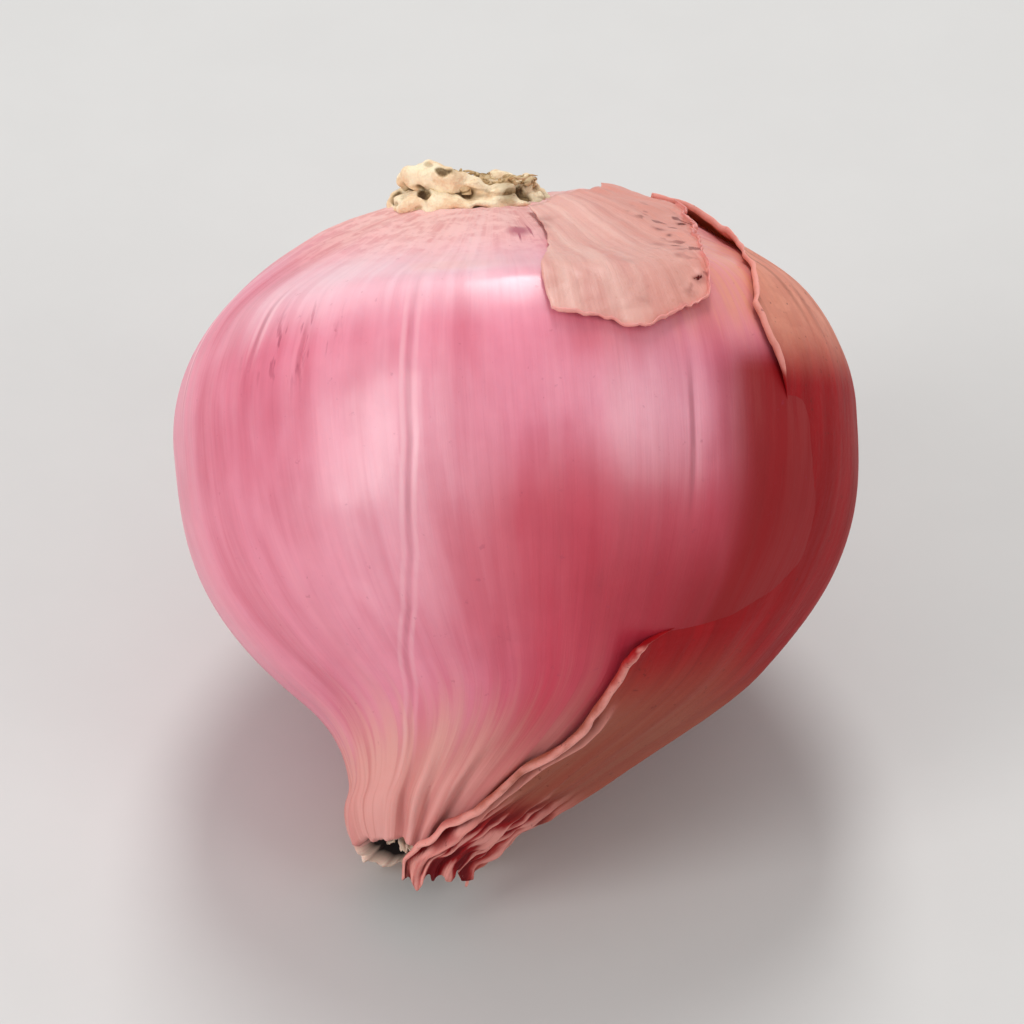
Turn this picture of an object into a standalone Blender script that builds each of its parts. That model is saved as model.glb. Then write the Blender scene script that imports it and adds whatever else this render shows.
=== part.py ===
"""A pink shallot lying on its belly, with its dried neck pointing forward and down to the surface.

The bulb grows along its own axis: local +Z runs from the root end to the neck, local +Y is the upper
side and local +X is the right side of the bulb as it is seen from the front, over the neck. Sizes are
in metres, and the shape of the bulb is written in body radii.
"""

import math

import bmesh
import bpy
from mathutils import Vector

# Driving dimensions
BODY_RADIUS = 0.017
AXIS_DIP = math.radians(43)
FLAT_DEPTH = 0.0005
GAP = 0.0003
SKIN_THICKNESS = 0.0004

# The bulb's profile, in body radii from its widest section
ROOT_REACH = 0.72
ROOT_FLAT = -0.69
NECK_END = 1.25
NECK_RADIUS = 0.15
SHOULDER = 0.95
SHOULDER_POWER = 3.0
TAPER_FROM = 1.05
TAPER = 0.30

# What makes the bulb uneven: shares of the radius, the neck's lean to the left in body radii, and
# how far the root end faces up instead of straight back
FLATTENING = 0.008
FLATTENING_TURN = math.radians(20)
LOBES = 0.006
LOBE_TURN = math.radians(70)
NECK_LEAN = -0.36
LEAN_BETWEEN = (0.75, 1.34)
ROOT_TILT = math.radians(14)
TILT_BETWEEN = (0.30, 0.69)

# How many steps the solids have round the axis and along it
BULB_STEPS = 44
BULB_RINGS = 36
OUTER_SKIN_CELLS = (60, 12)
SHOULDER_FLAP_CELLS = (12, 6)
PLATE_STEPS = 24
LEAF_STEPS = 12
SHARP_ANGLE = math.radians(40)

# Facing points on the two long torn edges of each dried skin, from the root down. Each row is
# (along, around, along, around), in body radii and in degrees from the top
OUTER_SKIN_EDGES = (
    (-0.64, 96, -0.64, 150),
    (-0.585, 84, -0.585, 150),
    (-0.53, 70, -0.55, 150),
    (-0.41, 53, -0.47, 150),
    (-0.31, 47.5, -0.38, 150),
    (-0.22, 43.5, -0.3, 150),
    (-0.11, 44, -0.2, 150),
    (0.03, 47.5, -0.08, 150),
    (0.25, 50, 0.08, 148),
    (0.4, 53, 0.2, 146),
    (0.5, 53, 0.3, 144),
    (0.575, 48, 0.4, 142),
    (0.645, 39, 0.5, 141),
    (0.68, 29, 0.56, 140),
    (0.71, 20, 0.62, 139),
    (0.78, 19, 0.68, 137),
    (0.87, 18.5, 0.78, 134),
    (0.92, 19.5, 0.86, 131),
    (0.955, 18.5, 0.91, 128),
    (0.985, 15, 0.95, 125),
    (1.015, 11, 0.99, 122),
    (1.055, 8, 1.04, 119),
    (1.1, 6, 1.09, 116),
    (1.14, 4, 1.14, 113),
    (1.18, 3, 1.18, 110),
)
SHOULDER_FLAP_EDGES = (
    (-0.67, 12, -0.67, 84),
    (-0.6, 8, -0.6, 64),
    (-0.52, 6, -0.52, 50),
    (-0.42, 4.5, -0.42, 40),
    (-0.33, 4, -0.33, 37),
    (-0.26, 4, -0.26, 33.5),
    (-0.2, 8, -0.2, 28),
)

# The root plate, how far to the left of the axis it sits in body radii, the roots on it and the
# dried leaf ends in the neck
PLATE_SHIFT = -0.08
PLATE_RADIUS = 0.0036
PLATE_OUTER_SHARE = 0.85
PLATE_HEIGHT = 0.0008
PLATE_BEVEL = 0.0003
ROOT_COUNT = 14
ROOT_RADIUS = 0.00032
ROOT_RING = 0.0031
ROOT_LENGTHS = (0.0009, 0.0006, 0.0010, 0.0007, 0.0008)
ROOT_POINTS = 7
ROOT_SPLAY = 0.35
ROOT_TWIST = 0.5
LEAF_COUNT = 4
LEAF_RING = 0.0016
LEAF_SPREAD = math.radians(54)
LEAF_WIDTH = 0.0007
LEAF_TIP_SHARE = 0.5
LEAF_FLATNESS = 0.5
LEAF_LENGTHS = (0.0009, 0.0014, 0.0011, 0.0008)
LEAF_SPLAY = 0.2

GOLDEN_ANGLE = math.radians(137.5)

# The block that takes off everything below the surface the bulb lies on
CUTTER_SIZE = 0.1

# Each finish as (colour, roughness)
PINK_SKIN = ((0.72, 0.25, 0.33), 0.38)
PAPERY_SKIN = ((0.75, 0.42, 0.32), 0.55)
ROOT_CORK = ((0.62, 0.50, 0.33), 0.85)
ROOT_FIBRE = ((0.70, 0.58, 0.38), 0.80)
DRY_LEAF = ((0.42, 0.22, 0.15), 0.75)


def clear_scene():
    for obj in list(bpy.data.objects):
        bpy.data.objects.remove(obj, do_unlink=True)


def new_collection(name):
    made = bpy.data.collections.new(name)
    bpy.context.scene.collection.children.link(made)
    return made


def material(name, finish):
    colour, roughness = finish
    made = bpy.data.materials.new(name)
    made.use_nodes = True
    shader = made.node_tree.nodes["Principled BSDF"]
    shader.inputs["Base Color"].default_value = (*colour, 1.0)
    shader.inputs["Roughness"].default_value = roughness
    shader.inputs["Metallic"].default_value = 0.0
    return made


def smooth(start, end, value):
    """0 before start, 1 after end, and an even S between them."""
    share = min(max((value - start) / (end - start), 0.0), 1.0)
    return share * share * (3 - 2 * share)


def profile_radius(along):
    """The bulb's radius at a place on its axis, both in body radii."""
    if along < 0:
        return math.sqrt(max(0.0, 1 - (along / ROOT_REACH) ** 2))
    swell = math.exp(-((along / SHOULDER) ** SHOULDER_POWER))
    radius = NECK_RADIUS + (1 - NECK_RADIUS) * swell
    return radius * (1 - TAPER * smooth(TAPER_FROM, NECK_END, along))


def uneven(around):
    """How the cross-section differs from a circle: slightly flattened, with three soft lobes."""
    flattened = FLATTENING * math.cos(2 * (around - FLATTENING_TURN))
    return 1 + flattened + LOBES * math.cos(3 * (around - LOBE_TURN))


def bent_point(x, y, along):
    """A point given in body radii, with the neck's lean and the root end's tilt, in metres."""
    lean = NECK_LEAN * smooth(*LEAN_BETWEEN, along)
    tilt = math.tan(ROOT_TILT) * smooth(*TILT_BETWEEN, -along)
    return Vector((x + lean, y, along + y * tilt)) * BODY_RADIUS


def bulb_point(along, around, share=1.0):
    """A point of the bulb's skin, or one that share of the way out to it, in the bulb's own axes."""
    radius = profile_radius(along) * uneven(around) * share
    return bent_point(radius * math.sin(around), radius * math.cos(around), along)


def lifted_point(along, around, lift):
    """A point that far above the bulb's skin."""
    step = 0.01
    down_the_axis = bulb_point(along + step, around) - bulb_point(along - step, around)
    round_the_axis = bulb_point(along, around + step) - bulb_point(along, around - step)
    outward = down_the_axis.cross(round_the_axis).normalized()
    return bulb_point(along, around) + outward * lift


def placed_rows(edges):
    """The rows of a skin's table, each led by how far down the first edge it lies, from 0 to 1."""
    corners = [bulb_point(row[0], math.radians(row[1])) for row in edges]
    lengths = [0.0]
    for above, below in zip(corners, corners[1:]):
        lengths.append(lengths[-1] + (below - above).length)
    return [(length / lengths[-1], *row) for length, row in zip(lengths, edges)]


def between(rows, place):
    """The values at a place, read off a table whose rows start with their place."""
    for low, high in zip(rows, rows[1:]):
        if place <= high[0]:
            share = (place - low[0]) / (high[0] - low[0])
            return tuple(a + (b - a) * share for a, b in zip(low[1:], high[1:]))
    return rows[-1][1:]


def resting_place():
    """Where the bulb's centre lies, so that its deepest point is FLAT_DEPTH under the origin."""
    deepest = Vector((0, 0, 0))
    for percent in range(101):
        for degrees in range(135, 225):
            point = bulb_point(percent / 100, math.radians(degrees))
            depth = point.z * math.sin(AXIS_DIP) - point.y * math.cos(AXIS_DIP)
            back = point.z * math.cos(AXIS_DIP) + point.y * math.sin(AXIS_DIP)
            if depth > deepest.z:
                deepest = Vector((-point.x, back, depth))
    return deepest - Vector((0, 0, FLAT_DEPTH))


def bulb_axis(collection):
    """The empty that every piece hangs from, with its +Z down the bulb's axis towards the neck."""
    empty = bpy.data.objects.new("bulb_axis", None)
    collection.objects.link(empty)
    empty.location = resting_place()
    empty.rotation_euler = (math.radians(90) + AXIS_DIP, 0, 0)
    return empty


def root_seat(axis, collection):
    """The empty on the bulb's flat root end, with its -Z pointing straight out of it."""
    empty = bpy.data.objects.new("root_seat", None)
    collection.objects.link(empty)
    empty.parent = axis
    empty.location = bent_point(PLATE_SHIFT, 0, ROOT_FLAT)
    empty.rotation_euler = (ROOT_TILT, 0, 0)
    return empty


def floor_cutter(collection):
    bpy.ops.mesh.primitive_cube_add(size=CUTTER_SIZE, location=(0, 0, -CUTTER_SIZE / 2))
    cutter = bpy.context.object
    cutter.name = "floor_cutter"
    for owner in list(cutter.users_collection):
        owner.objects.unlink(cutter)
    collection.objects.link(cutter)
    cutter.hide_render = True
    cutter.display_type = "WIRE"
    return cutter


def add(name, data, parent, collection, look):
    obj = bpy.data.objects.new(name, data)
    collection.objects.link(obj)
    obj.parent = parent
    data.materials.clear()
    data.materials.append(look)
    return obj


def turned_mesh(profile, steps):
    """The closed solid that a profile sweeps round the axis. It runs from the neck to the root."""
    wire = bpy.data.meshes.new("profile")
    bm = bmesh.new()
    points = [bm.verts.new((radius, 0, along)) for along, radius in profile]
    for first, second in zip(points, points[1:]):
        bm.edges.new((first, second))
    bm.to_mesh(wire)
    bm.free()
    turned = bpy.data.objects.new("profile", wire)
    bpy.context.scene.collection.objects.link(turned)
    screw = turned.modifiers.new("Screw", "SCREW")
    screw.steps = steps
    screw.render_steps = steps
    screw.use_merge_vertices = True
    screw.merge_threshold = 0.00001
    graph = bpy.context.evaluated_depsgraph_get()
    mesh = bpy.data.meshes.new_from_object(turned.evaluated_get(graph))
    bpy.data.objects.remove(turned)
    return mesh


def bulb_profile():
    """(along, radius) in body radii from the neck's end to the root end, closer together at both ends."""
    middle = (NECK_END + ROOT_FLAT) / 2
    half = (NECK_END - ROOT_FLAT) / 2
    rings = [(NECK_END, 0.0)]
    for ring in range(BULB_RINGS + 1):
        along = middle + half * math.cos(math.pi * ring / BULB_RINGS)
        rings.append((along, profile_radius(along)))
    rings.append((ROOT_FLAT, 0.0))
    return rings


def make_bulb(axis, collection, cutter, look):
    """The bulb: a turned solid, made uneven and bent, then cut flat where it rests."""
    mesh = turned_mesh(bulb_profile(), BULB_STEPS)
    for vertex in mesh.vertices:
        x, y, along = vertex.co
        share = math.hypot(x, y) / profile_radius(along)
        vertex.co = bulb_point(along, math.atan2(x, y), share)
    bulb = add("bulb", mesh, axis, collection, look)
    mesh.shade_smooth()
    cut = bulb.modifiers.new("Floor", "BOOLEAN")
    cut.operation = "DIFFERENCE"
    cut.object = cutter


def make_skin(name, edges, cells, axis, collection, look):
    """A dried remnant of skin: a sheet laid over the bulb between two edges, with its own thickness."""
    cells_along, cells_around = cells
    rows = placed_rows(edges)
    mesh = bpy.data.meshes.new(name)
    bm = bmesh.new()
    bmesh.ops.create_grid(bm, x_segments=cells_around, y_segments=cells_along, size=0.5)
    for vertex in bm.verts:
        first_along, first_around, second_along, second_around = between(rows, vertex.co.y + 0.5)
        share = vertex.co.x + 0.5
        along = second_along + (first_along - second_along) * share
        around = second_around + (first_around - second_around) * share
        vertex.co = lifted_point(along, math.radians(around), GAP)
    bm.to_mesh(mesh)
    bm.free()
    skin = add(name, mesh, axis, collection, look)
    mesh.shade_smooth()
    thicken = skin.modifiers.new("Solidify", "SOLIDIFY")
    thicken.thickness = SKIN_THICKNESS
    thicken.offset = 1


def make_root_plate(seat, collection, look):
    mesh = bpy.data.meshes.new("root_plate")
    bm = bmesh.new()
    bmesh.ops.create_cone(
        bm,
        cap_ends=True,
        segments=PLATE_STEPS,
        radius1=PLATE_RADIUS * PLATE_OUTER_SHARE,
        radius2=PLATE_RADIUS,
        depth=PLATE_HEIGHT,
    )
    bm.to_mesh(mesh)
    bm.free()
    plate = add("root_plate", mesh, seat, collection, look)
    plate.location = (0, 0, -GAP - PLATE_HEIGHT / 2)
    mesh.shade_smooth()
    mesh.set_sharp_from_angle(angle=SHARP_ANGLE)
    edge = plate.modifiers.new("Bevel", "BEVEL")
    edge.width = PLATE_BEVEL
    edge.segments = 2


def tube(name, points, radius, parent, collection, look):
    curve = bpy.data.curves.new(name, "CURVE")
    curve.dimensions = "3D"
    curve.bevel_depth = radius
    curve.bevel_resolution = 1
    curve.use_fill_caps = True
    line = curve.splines.new("POLY")
    line.points.add(len(points) - 1)
    for place, point in zip(line.points, points):
        place.co = (*point, 1)
    add(name, curve, parent, collection, look)


def make_roots(seat, collection, look):
    """Short dried roots, spread over the plate as seeds are in a flower, which bend outward and twist."""
    base = -2 * GAP - PLATE_HEIGHT
    for index in range(ROOT_COUNT):
        turn = index * GOLDEN_ANGLE
        reach = ROOT_RING * math.sqrt((index + 0.5) / ROOT_COUNT)
        length = ROOT_LENGTHS[index % len(ROOT_LENGTHS)]
        points = []
        for step in range(ROOT_POINTS):
            share = step / (ROOT_POINTS - 1)
            out = reach * (1 + ROOT_SPLAY * share * share)
            bearing = turn + ROOT_TWIST * share * share
            height = base - length * share
            points.append((out * math.sin(bearing), out * math.cos(bearing), height))
        tube(f"root_{index + 1:02d}", points, ROOT_RADIUS, seat, collection, look)


def make_dry_leaves(axis, collection, look):
    """Flattened, tapering stubs of the dried leaf bases, in an arc over the middle of the neck's end."""
    for index in range(LEAF_COUNT):
        turn = LEAF_SPREAD * (index - (LEAF_COUNT - 1) / 2)
        length = LEAF_LENGTHS[index]
        mesh = bpy.data.meshes.new(f"dry_leaf_{index + 1}")
        bm = bmesh.new()
        bmesh.ops.create_cone(
            bm,
            cap_ends=True,
            segments=LEAF_STEPS,
            radius1=LEAF_WIDTH,
            radius2=LEAF_WIDTH * LEAF_TIP_SHARE,
            depth=length,
        )
        for vertex in bm.verts:
            rise = vertex.co.z + length / 2
            vertex.co.y = vertex.co.y * LEAF_FLATNESS + rise * LEAF_SPLAY
            vertex.co.z = rise
        bm.to_mesh(mesh)
        bm.free()
        leaf = add(mesh.name, mesh, axis, collection, look)
        out = Vector((math.sin(turn), math.cos(turn), 0)) * LEAF_RING
        leaf.location = bent_point(0, 0, NECK_END) + out + Vector((0, 0, GAP))
        leaf.rotation_euler = (0, 0, -turn)
        mesh.shade_smooth()
        mesh.set_sharp_from_angle(angle=SHARP_ANGLE)


def main():
    clear_scene()
    parts = new_collection("pink_shallot")
    cutters = new_collection("cutters")
    pink = material("pink_skin", PINK_SKIN)
    paper = material("papery_skin", PAPERY_SKIN)
    cork = material("root_cork", ROOT_CORK)
    fibre = material("root_fibre", ROOT_FIBRE)
    brown = material("dry_leaf", DRY_LEAF)

    axis = bulb_axis(parts)
    seat = root_seat(axis, parts)
    make_bulb(axis, parts, floor_cutter(cutters), pink)
    make_skin("outer_skin", OUTER_SKIN_EDGES, OUTER_SKIN_CELLS, axis, parts, paper)
    make_skin("shoulder_flap", SHOULDER_FLAP_EDGES, SHOULDER_FLAP_CELLS, axis, parts, paper)
    make_root_plate(seat, parts, cork)
    make_roots(seat, parts, fibre)
    make_dry_leaves(axis, parts, brown)


main()
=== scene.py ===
import math
from functools import partial

import bpy
import numpy as np
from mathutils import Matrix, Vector, noise


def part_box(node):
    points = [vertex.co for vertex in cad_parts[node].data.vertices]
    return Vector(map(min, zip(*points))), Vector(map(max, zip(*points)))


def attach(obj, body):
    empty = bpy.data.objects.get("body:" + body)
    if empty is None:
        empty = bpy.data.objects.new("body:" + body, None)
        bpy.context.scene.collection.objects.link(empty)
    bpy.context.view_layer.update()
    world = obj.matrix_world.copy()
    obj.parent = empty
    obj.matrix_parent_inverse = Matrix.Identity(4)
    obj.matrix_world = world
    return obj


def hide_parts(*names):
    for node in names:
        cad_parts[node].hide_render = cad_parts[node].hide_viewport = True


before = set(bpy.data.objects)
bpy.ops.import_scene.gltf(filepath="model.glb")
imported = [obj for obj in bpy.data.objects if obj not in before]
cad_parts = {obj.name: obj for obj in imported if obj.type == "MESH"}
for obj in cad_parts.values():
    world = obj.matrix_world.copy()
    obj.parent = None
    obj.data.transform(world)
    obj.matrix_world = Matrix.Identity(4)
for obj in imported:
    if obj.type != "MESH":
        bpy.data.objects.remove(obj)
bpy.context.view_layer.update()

mm = 0.001

# The bulb's form: lengths in its own radius, turns in degrees. Around starts at the top of the
# bulb and grows to the right; along starts at the widest part and grows to the neck.
bulbForm = {
    "dip": 43.0, "rootReach": 0.72, "rootFlat": -0.69,
    "neckEnd": 1.25, "neckRadius": 0.15, "shoulder": 0.95, "shoulderPower": 3.0,
    "taperFrom": 1.05, "taper": 0.30,
    "flattening": 0.008, "flatteningTurn": 20.0, "lobes": 0.006, "lobeTurn": 70.0,
    "lean": -0.36, "leanFrom": 0.75, "leanTo": 1.34,
    "rootTilt": 14.0, "tiltFrom": 0.30, "tiltTo": 0.69,
}
dip = math.radians(bulbForm["dip"])
axisRight = np.array((1.0, 0.0, 0.0))
axisBack = np.array((0.0, -math.sin(dip), math.cos(dip)))
axisNeck = np.array((0.0, -math.cos(dip), -math.sin(dip)))


def ramp(start, end, value):
    share = np.clip((value - start) / (end - start), 0, 1)
    return share * share * (3 - 2 * share)


def hump(value, width):  # 1 at zero, fading to nothing about two widths away
    return np.exp(-(value / width) ** 2)


def unitLength(vectors):
    return vectors / np.maximum(np.linalg.norm(vectors, axis=-1, keepdims=True), 1e-12)


def profileRadius(along):
    f = bulbForm
    rootSide = np.sqrt(np.clip(1 - (along / f["rootReach"]) ** 2, 0, 1))
    neckSide = f["neckRadius"] + (1 - f["neckRadius"]) * np.exp(
        -(np.clip(along, 0, None) / f["shoulder"]) ** f["shoulderPower"])
    neckSide = neckSide * (1 - f["taper"] * ramp(f["taperFrom"], f["neckEnd"], along))
    return np.where(along < 0, rootSide, neckSide)


def bend(x, y, along):
    f = bulbForm
    lean = f["lean"] * ramp(f["leanFrom"], f["leanTo"], along)
    tilt = math.tan(math.radians(f["rootTilt"])) * ramp(f["tiltFrom"], f["tiltTo"], -along)
    return ((x + lean)[..., None] * axisRight + y[..., None] * axisBack
            + (along + y * tilt)[..., None] * axisNeck)


def unitSurface(along, around, share=1.0):
    f = bulbForm
    uneven = (1 + f["flattening"] * np.cos(2 * (around - math.radians(f["flatteningTurn"])))
              + f["lobes"] * np.cos(3 * (around - math.radians(f["lobeTurn"]))))
    radius = profileRadius(along) * uneven * share
    return bend(radius * np.sin(around), radius * np.cos(around), along + 0 * around)


def fitToFrame():  # the radius and the place of the widest part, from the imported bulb's box
    along, around = np.meshgrid(np.linspace(bulbForm["rootFlat"], bulbForm["neckEnd"], 300),
                                np.linspace(0, 2 * math.pi, 240), indexing="ij")
    unit = unitSurface(along, around).reshape(-1, 3)
    low, high = (np.array(corner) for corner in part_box("bulb"))
    radius = (high[0] - low[0]) / (unit[:, 0].max() - unit[:, 0].min())
    middle = (low[0] + high[0] - radius * (unit[:, 0].max() + unit[:, 0].min())) / 2
    return radius, np.array((middle, high[1] - radius * unit[:, 1].max(),
                             high[2] - radius * unit[:, 2].max()))


bulbRadius, bulbMiddle = fitToFrame()
print("frame: radius %.2f mm, middle %s" % (bulbRadius / mm, np.round(bulbMiddle / mm, 2)))


# Fields over the skin
fieldSeedStep, pointSeedStep = 7.31, 5.77  # how far apart the seeds lie in the noise


def wrapped(angle):  # an angle in radians as one from -pi to pi
    return (angle + math.pi) % (2 * math.pi) - math.pi


def noiseAt(spots):  # -1 to 1
    return np.fromiter(map(noise.noise, spots.reshape(-1, 3).tolist()),
                       float).reshape(spots.shape[:-1])


def fieldNoise(along, around, across, lengthwise, seed):  # closed round the bulb
    return noiseAt(np.stack([np.cos(around) * across, np.sin(around) * across,
                             along * lengthwise + seed * fieldSeedStep], -1))


def ringNoise(around, across, seed):
    return fieldNoise(0 * around, around, across, 1, seed)


def pointNoise(points, size, seed):  # at points in metres
    return noiseAt(points / size + seed * pointSeedStep)


def window(value, start, full, fade, end, waver=0.0):  # 1 from full to fade, its start wavering
    return ramp(start, full, value + waver) * (1 - ramp(fade, end, value))


def patch(along, turn, spotAlong, spotTurn, length, width):  # a soft oval, 1 in its middle
    return hump(along - spotAlong, length) * hump(turn - spotTurn, width)


def sideways(along, around, line):  # metres to the right of a line of (along, around) points
    steps, turns = np.array(line).T
    away = wrapped(around - np.radians(np.interp(along, steps, turns)))
    return away * np.maximum(profileRadius(along), 0.1) * bulbRadius


# Fine lines down the skin: the path as (along, around) points, how strongly its sides are light
# (partly a painted highlight on its ridges) and its middle dark (painted shade in its groove), from
# where to where it shows, and how gradually it ends
skinLines = (
    (((-0.30, -20), (0.13, -21), (0.44, -24), (0.58, -27.5), (0.72, -34), (0.87, -40)),
     1.0, 0.7, -0.32, 0.92, 0.25),
    (((-0.10, 27.0), (0.35, 26.4)), 0.2, 1.0, -0.02, 0.33, 0.10),
    (((-0.56, -82), (-0.15, -79)), 1.0, 0.5, -0.52, -0.12, 0.14),
    (((-0.45, -52), (-0.10, -54)), 0.9, 0.8, -0.40, -0.20, 0.08),
    (((-0.30, -41), (0.00, -42)), 0.3, 0.8, -0.25, -0.10, 0.06),
    (((-0.20, 66), (0.60, 70)), 0.6, 0.3, 0.0, 0.5, 0.2),
    (((-0.40, -128), (0.80, -122)), 0.8, 0.4, -0.3, 0.7, 0.3),
    (((-0.40, 172), (0.80, 168)), 0.7, 0.5, -0.4, 0.5, 0.3),
)
skinRelief = {
    # height, closeness across and lengthwise, seed, and the share that is left on the neck,
    # where the fibres run together
    "layers": ((0.26 * mm, 1.7, 1.7, 3, 1.0), (0.09 * mm, 5.0, 1.6, 5, 1.0),
               (0.030 * mm, 15.0, 1.3, 7, 0.2), (0.008 * mm, 38.0, 2.2, 9, 0.2)),
    "neckFrom": 0.65, "neckTo": 1.0,
    # the same on the collar at the root end, its rings and creases
    "collarLayers": ((0.08 * mm, 2.2, 24.0, 11), (0.10 * mm, 8.0, 4.0, 13)),
    "collarFrom": 0.46, "collarTo": 0.64,
    "lineRidge": 0.020 * mm, "lineGroove": 0.022 * mm, "lineWidth": 0.36 * mm,
    "lineSides": 1.7,  # how far its ridges lie from its middle, in its widths
    # pleats: around at the foot and at the mouth, strength
    "pleats": ((-160, -163, 0.8), (-125, -120, 1.0), (-86, -88, -0.8), (-70, -76, 0.8),
               (-42, -40, 1.3), (-30, -27, 1.2), (-10, -14, 1.1), (10, 4, 0.9), (40, 38, 0.9),
               (80, 80, 0.8), (118, 121, 0.7), (150, 146, 1.0)),
    "pleatFoot": 0.92, "pleatMouth": 1.16, "pleatFrom": 0.90, "pleatTo": 1.12,
    "pleatHeight": 0.24 * mm, "pleatWidth": 0.40 * mm,
    # along, around, length along, width around, height
    "dents": ((0.56, 12.2, 0.030, 2.2, -0.12 * mm), (0.70, -8.0, 0.016, 6.0, -0.10 * mm),
              (0.69, -14.0, 0.030, 5.0, 0.07 * mm), (0.226, 30.5, 0.018, 1.2, -0.07 * mm),
              (-0.21, -41.0, 0.025, 1.8, -0.06 * mm), (-0.17, -20.2, 0.035, 1.4, -0.07 * mm),
              (0.10, 150.0, 0.12, 8.0, -0.16 * mm), (-0.632, 3.0, 0.018, 6.0, 0.16 * mm),
              (-0.20, -120.0, 0.10, 9.0, -0.14 * mm)),
}


def lineShown(along, start, end, fade):
    return window(along, start - fade, start + fade, end - fade, end + fade)


def skinHeight(along, around):  # metres that the real, uneven skin stands over the plain form
    r = skinRelief
    onNeck = ramp(r["neckFrom"], r["neckTo"], along)
    onCollar = ramp(r["collarFrom"], r["collarTo"], -along)
    height = sum(rise * (1 - (1 - left) * onNeck) * fieldNoise(along, around, *grain)
                 for rise, *grain, left in r["layers"])
    height += onCollar * sum(rise * fieldNoise(along, around, *grain)
                             for rise, *grain in r["collarLayers"])
    for path, light, dark, *shown in skinLines:
        away = sideways(along, around, path)
        ridge = hump(np.abs(away) - r["lineSides"] * r["lineWidth"], r["lineWidth"])
        groove = hump(away, r["lineWidth"])
        height += lineShown(along, *shown) * (
            light * r["lineRidge"] * ridge - dark * r["lineGroove"] * groove)
    pleated = ramp(r["pleatFrom"], r["pleatTo"], along) * r["pleatHeight"]
    width = r["pleatWidth"]
    for foot, mouth, strength in r["pleats"]:
        away = sideways(along, around, ((r["pleatFoot"], foot), (r["pleatMouth"], mouth)))
        height += pleated * strength * (
            hump(away, width) - 0.8 * hump(away - 1.5 * width, 0.8 * width))
    for spotAlong, spotTurn, length, spotWidth, rise in r["dents"]:
        away = wrapped(around - math.radians(spotTurn))
        height += rise * patch(along, away, spotAlong, 0, length, math.radians(spotWidth))
    return height


def skinPoints(along, around, lift=0.0):  # points on or over the plain form, and their normals
    step = 0.004
    here = unitSurface(along, around)
    slopeAlong = unitSurface(along + step, around) - unitSurface(along - step, around)
    slopeAround = unitSurface(along, around + step) - unitSurface(along, around - step)
    outward = unitLength(np.cross(slopeAlong, slopeAround))
    lift = np.broadcast_to(lift, here.shape[:-1])
    return bulbMiddle + bulbRadius * here + lift[..., None] * outward, outward


# Meshes
def gridNormals(points, wrap=False):
    if wrap:
        acrossStep = np.roll(points, -1, axis=1) - np.roll(points, 1, axis=1)
    else:
        acrossStep = np.gradient(points, axis=1)
    return unitLength(np.cross(np.gradient(points, axis=0), acrossStep))


def gridFaces(rows, columns, wrap=False):
    index = np.arange(rows * columns).reshape(rows, columns)
    left = index if wrap else index[:, :-1]
    right = np.roll(index, -1, axis=1) if wrap else index[:, 1:]
    return np.stack([left[:-1], left[1:], right[1:], right[:-1]], -1).reshape(-1, 4).tolist()


def fanFaces(ring, tip, outward):
    following = np.roll(ring, -1)
    order = (ring, following) if outward else (following, ring)
    return [(int(a), int(b), int(tip)) for a, b in zip(*order)]


def newPiece(name, points, faces, fields):
    mesh = bpy.data.meshes.new(name)
    mesh.from_pydata(points.reshape(-1, 3).tolist(), [], faces)
    mesh.shade_smooth()
    for field, values in fields.items():
        layer = mesh.attributes.new(field, "FLOAT_VECTOR", "POINT")
        layer.data.foreach_set("vector", np.asarray(values, np.float32).reshape(-1))
    mesh.validate()
    piece = bpy.data.objects.new(name, mesh)
    bpy.context.scene.collection.objects.link(piece)
    return piece


def finishPiece(piece, material, slot, *nodes):
    piece.data.materials.append(material)
    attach(piece, "root")
    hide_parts(*nodes)
    print("piece:", piece.name, len(piece.data.polygons), "faces")
    return piece


def vectorField(*parts):
    return np.stack(np.broadcast_arrays(*parts), -1)


def thicken(piece, thickness, offset=-1.0):
    solid = piece.modifiers.new("thickness", "SOLIDIFY")
    solid.thickness = thickness
    solid.offset = offset


def edgeDistance(points, sides):  # metres from each point of a grid to its nearest torn side
    edges = {"first": points[:, 0], "last": points[:, -1], "end": points[-1]}
    rim = np.concatenate([edges[side] for side in sides])
    flat = points.reshape(-1, 3)
    nearest = np.full(len(flat), math.inf)
    atOnce = 40  # rim points, to keep the arrays small
    for start in range(0, len(rim), atOnce):
        gap = np.linalg.norm(flat[:, None] - rim[None, start:start + atOnce], axis=-1).min(1)
        nearest = np.minimum(nearest, gap)
    return nearest.reshape(points.shape[:-1])


def curlFirstSide(points, up, radius, turn, steps):  # rolls the grid's first column up and back
    outward = unitLength(points[:, 0] - points[:, 2])
    angle = np.linspace(1, 0, steps, endpoint=False)[None] * turn[:, None]
    rim = points[:, :1] + radius[:, None, None] * (
        outward[:, None] * np.sin(angle)[..., None] + up[:, :1] * (1 - np.cos(angle))[..., None])
    return np.concatenate([rim, points], axis=1)


# Shader helpers
def paint(red, green, blue):  # a screen colour, 0 to 255, as the shader's linear values
    screen = np.array((red, green, blue)) / 255
    linear = np.where(screen <= 0.04045, screen / 12.92, ((screen + 0.055) / 1.055) ** 2.4)
    return (*linear.tolist(), 1.0)


def setInputs(tree, made, inputs):
    for key, value in inputs.items():
        if isinstance(value, bpy.types.NodeSocket):
            tree.links.new(value, made.inputs[key])
        else:
            made.inputs[key].default_value = value
    return made


def addNode(tree, kind, inputs=None, **settings):
    made = tree.nodes.new(kind)
    for name, value in settings.items():
        setattr(made, name, value)
    return setInputs(tree, made, inputs or {})


def calc(tree, operation, first, second=0.0, clamp=False):
    return addNode(tree, "ShaderNodeMath", {0: first, 1: second}, operation=operation,
                   use_clamp=clamp).outputs[0]


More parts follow.
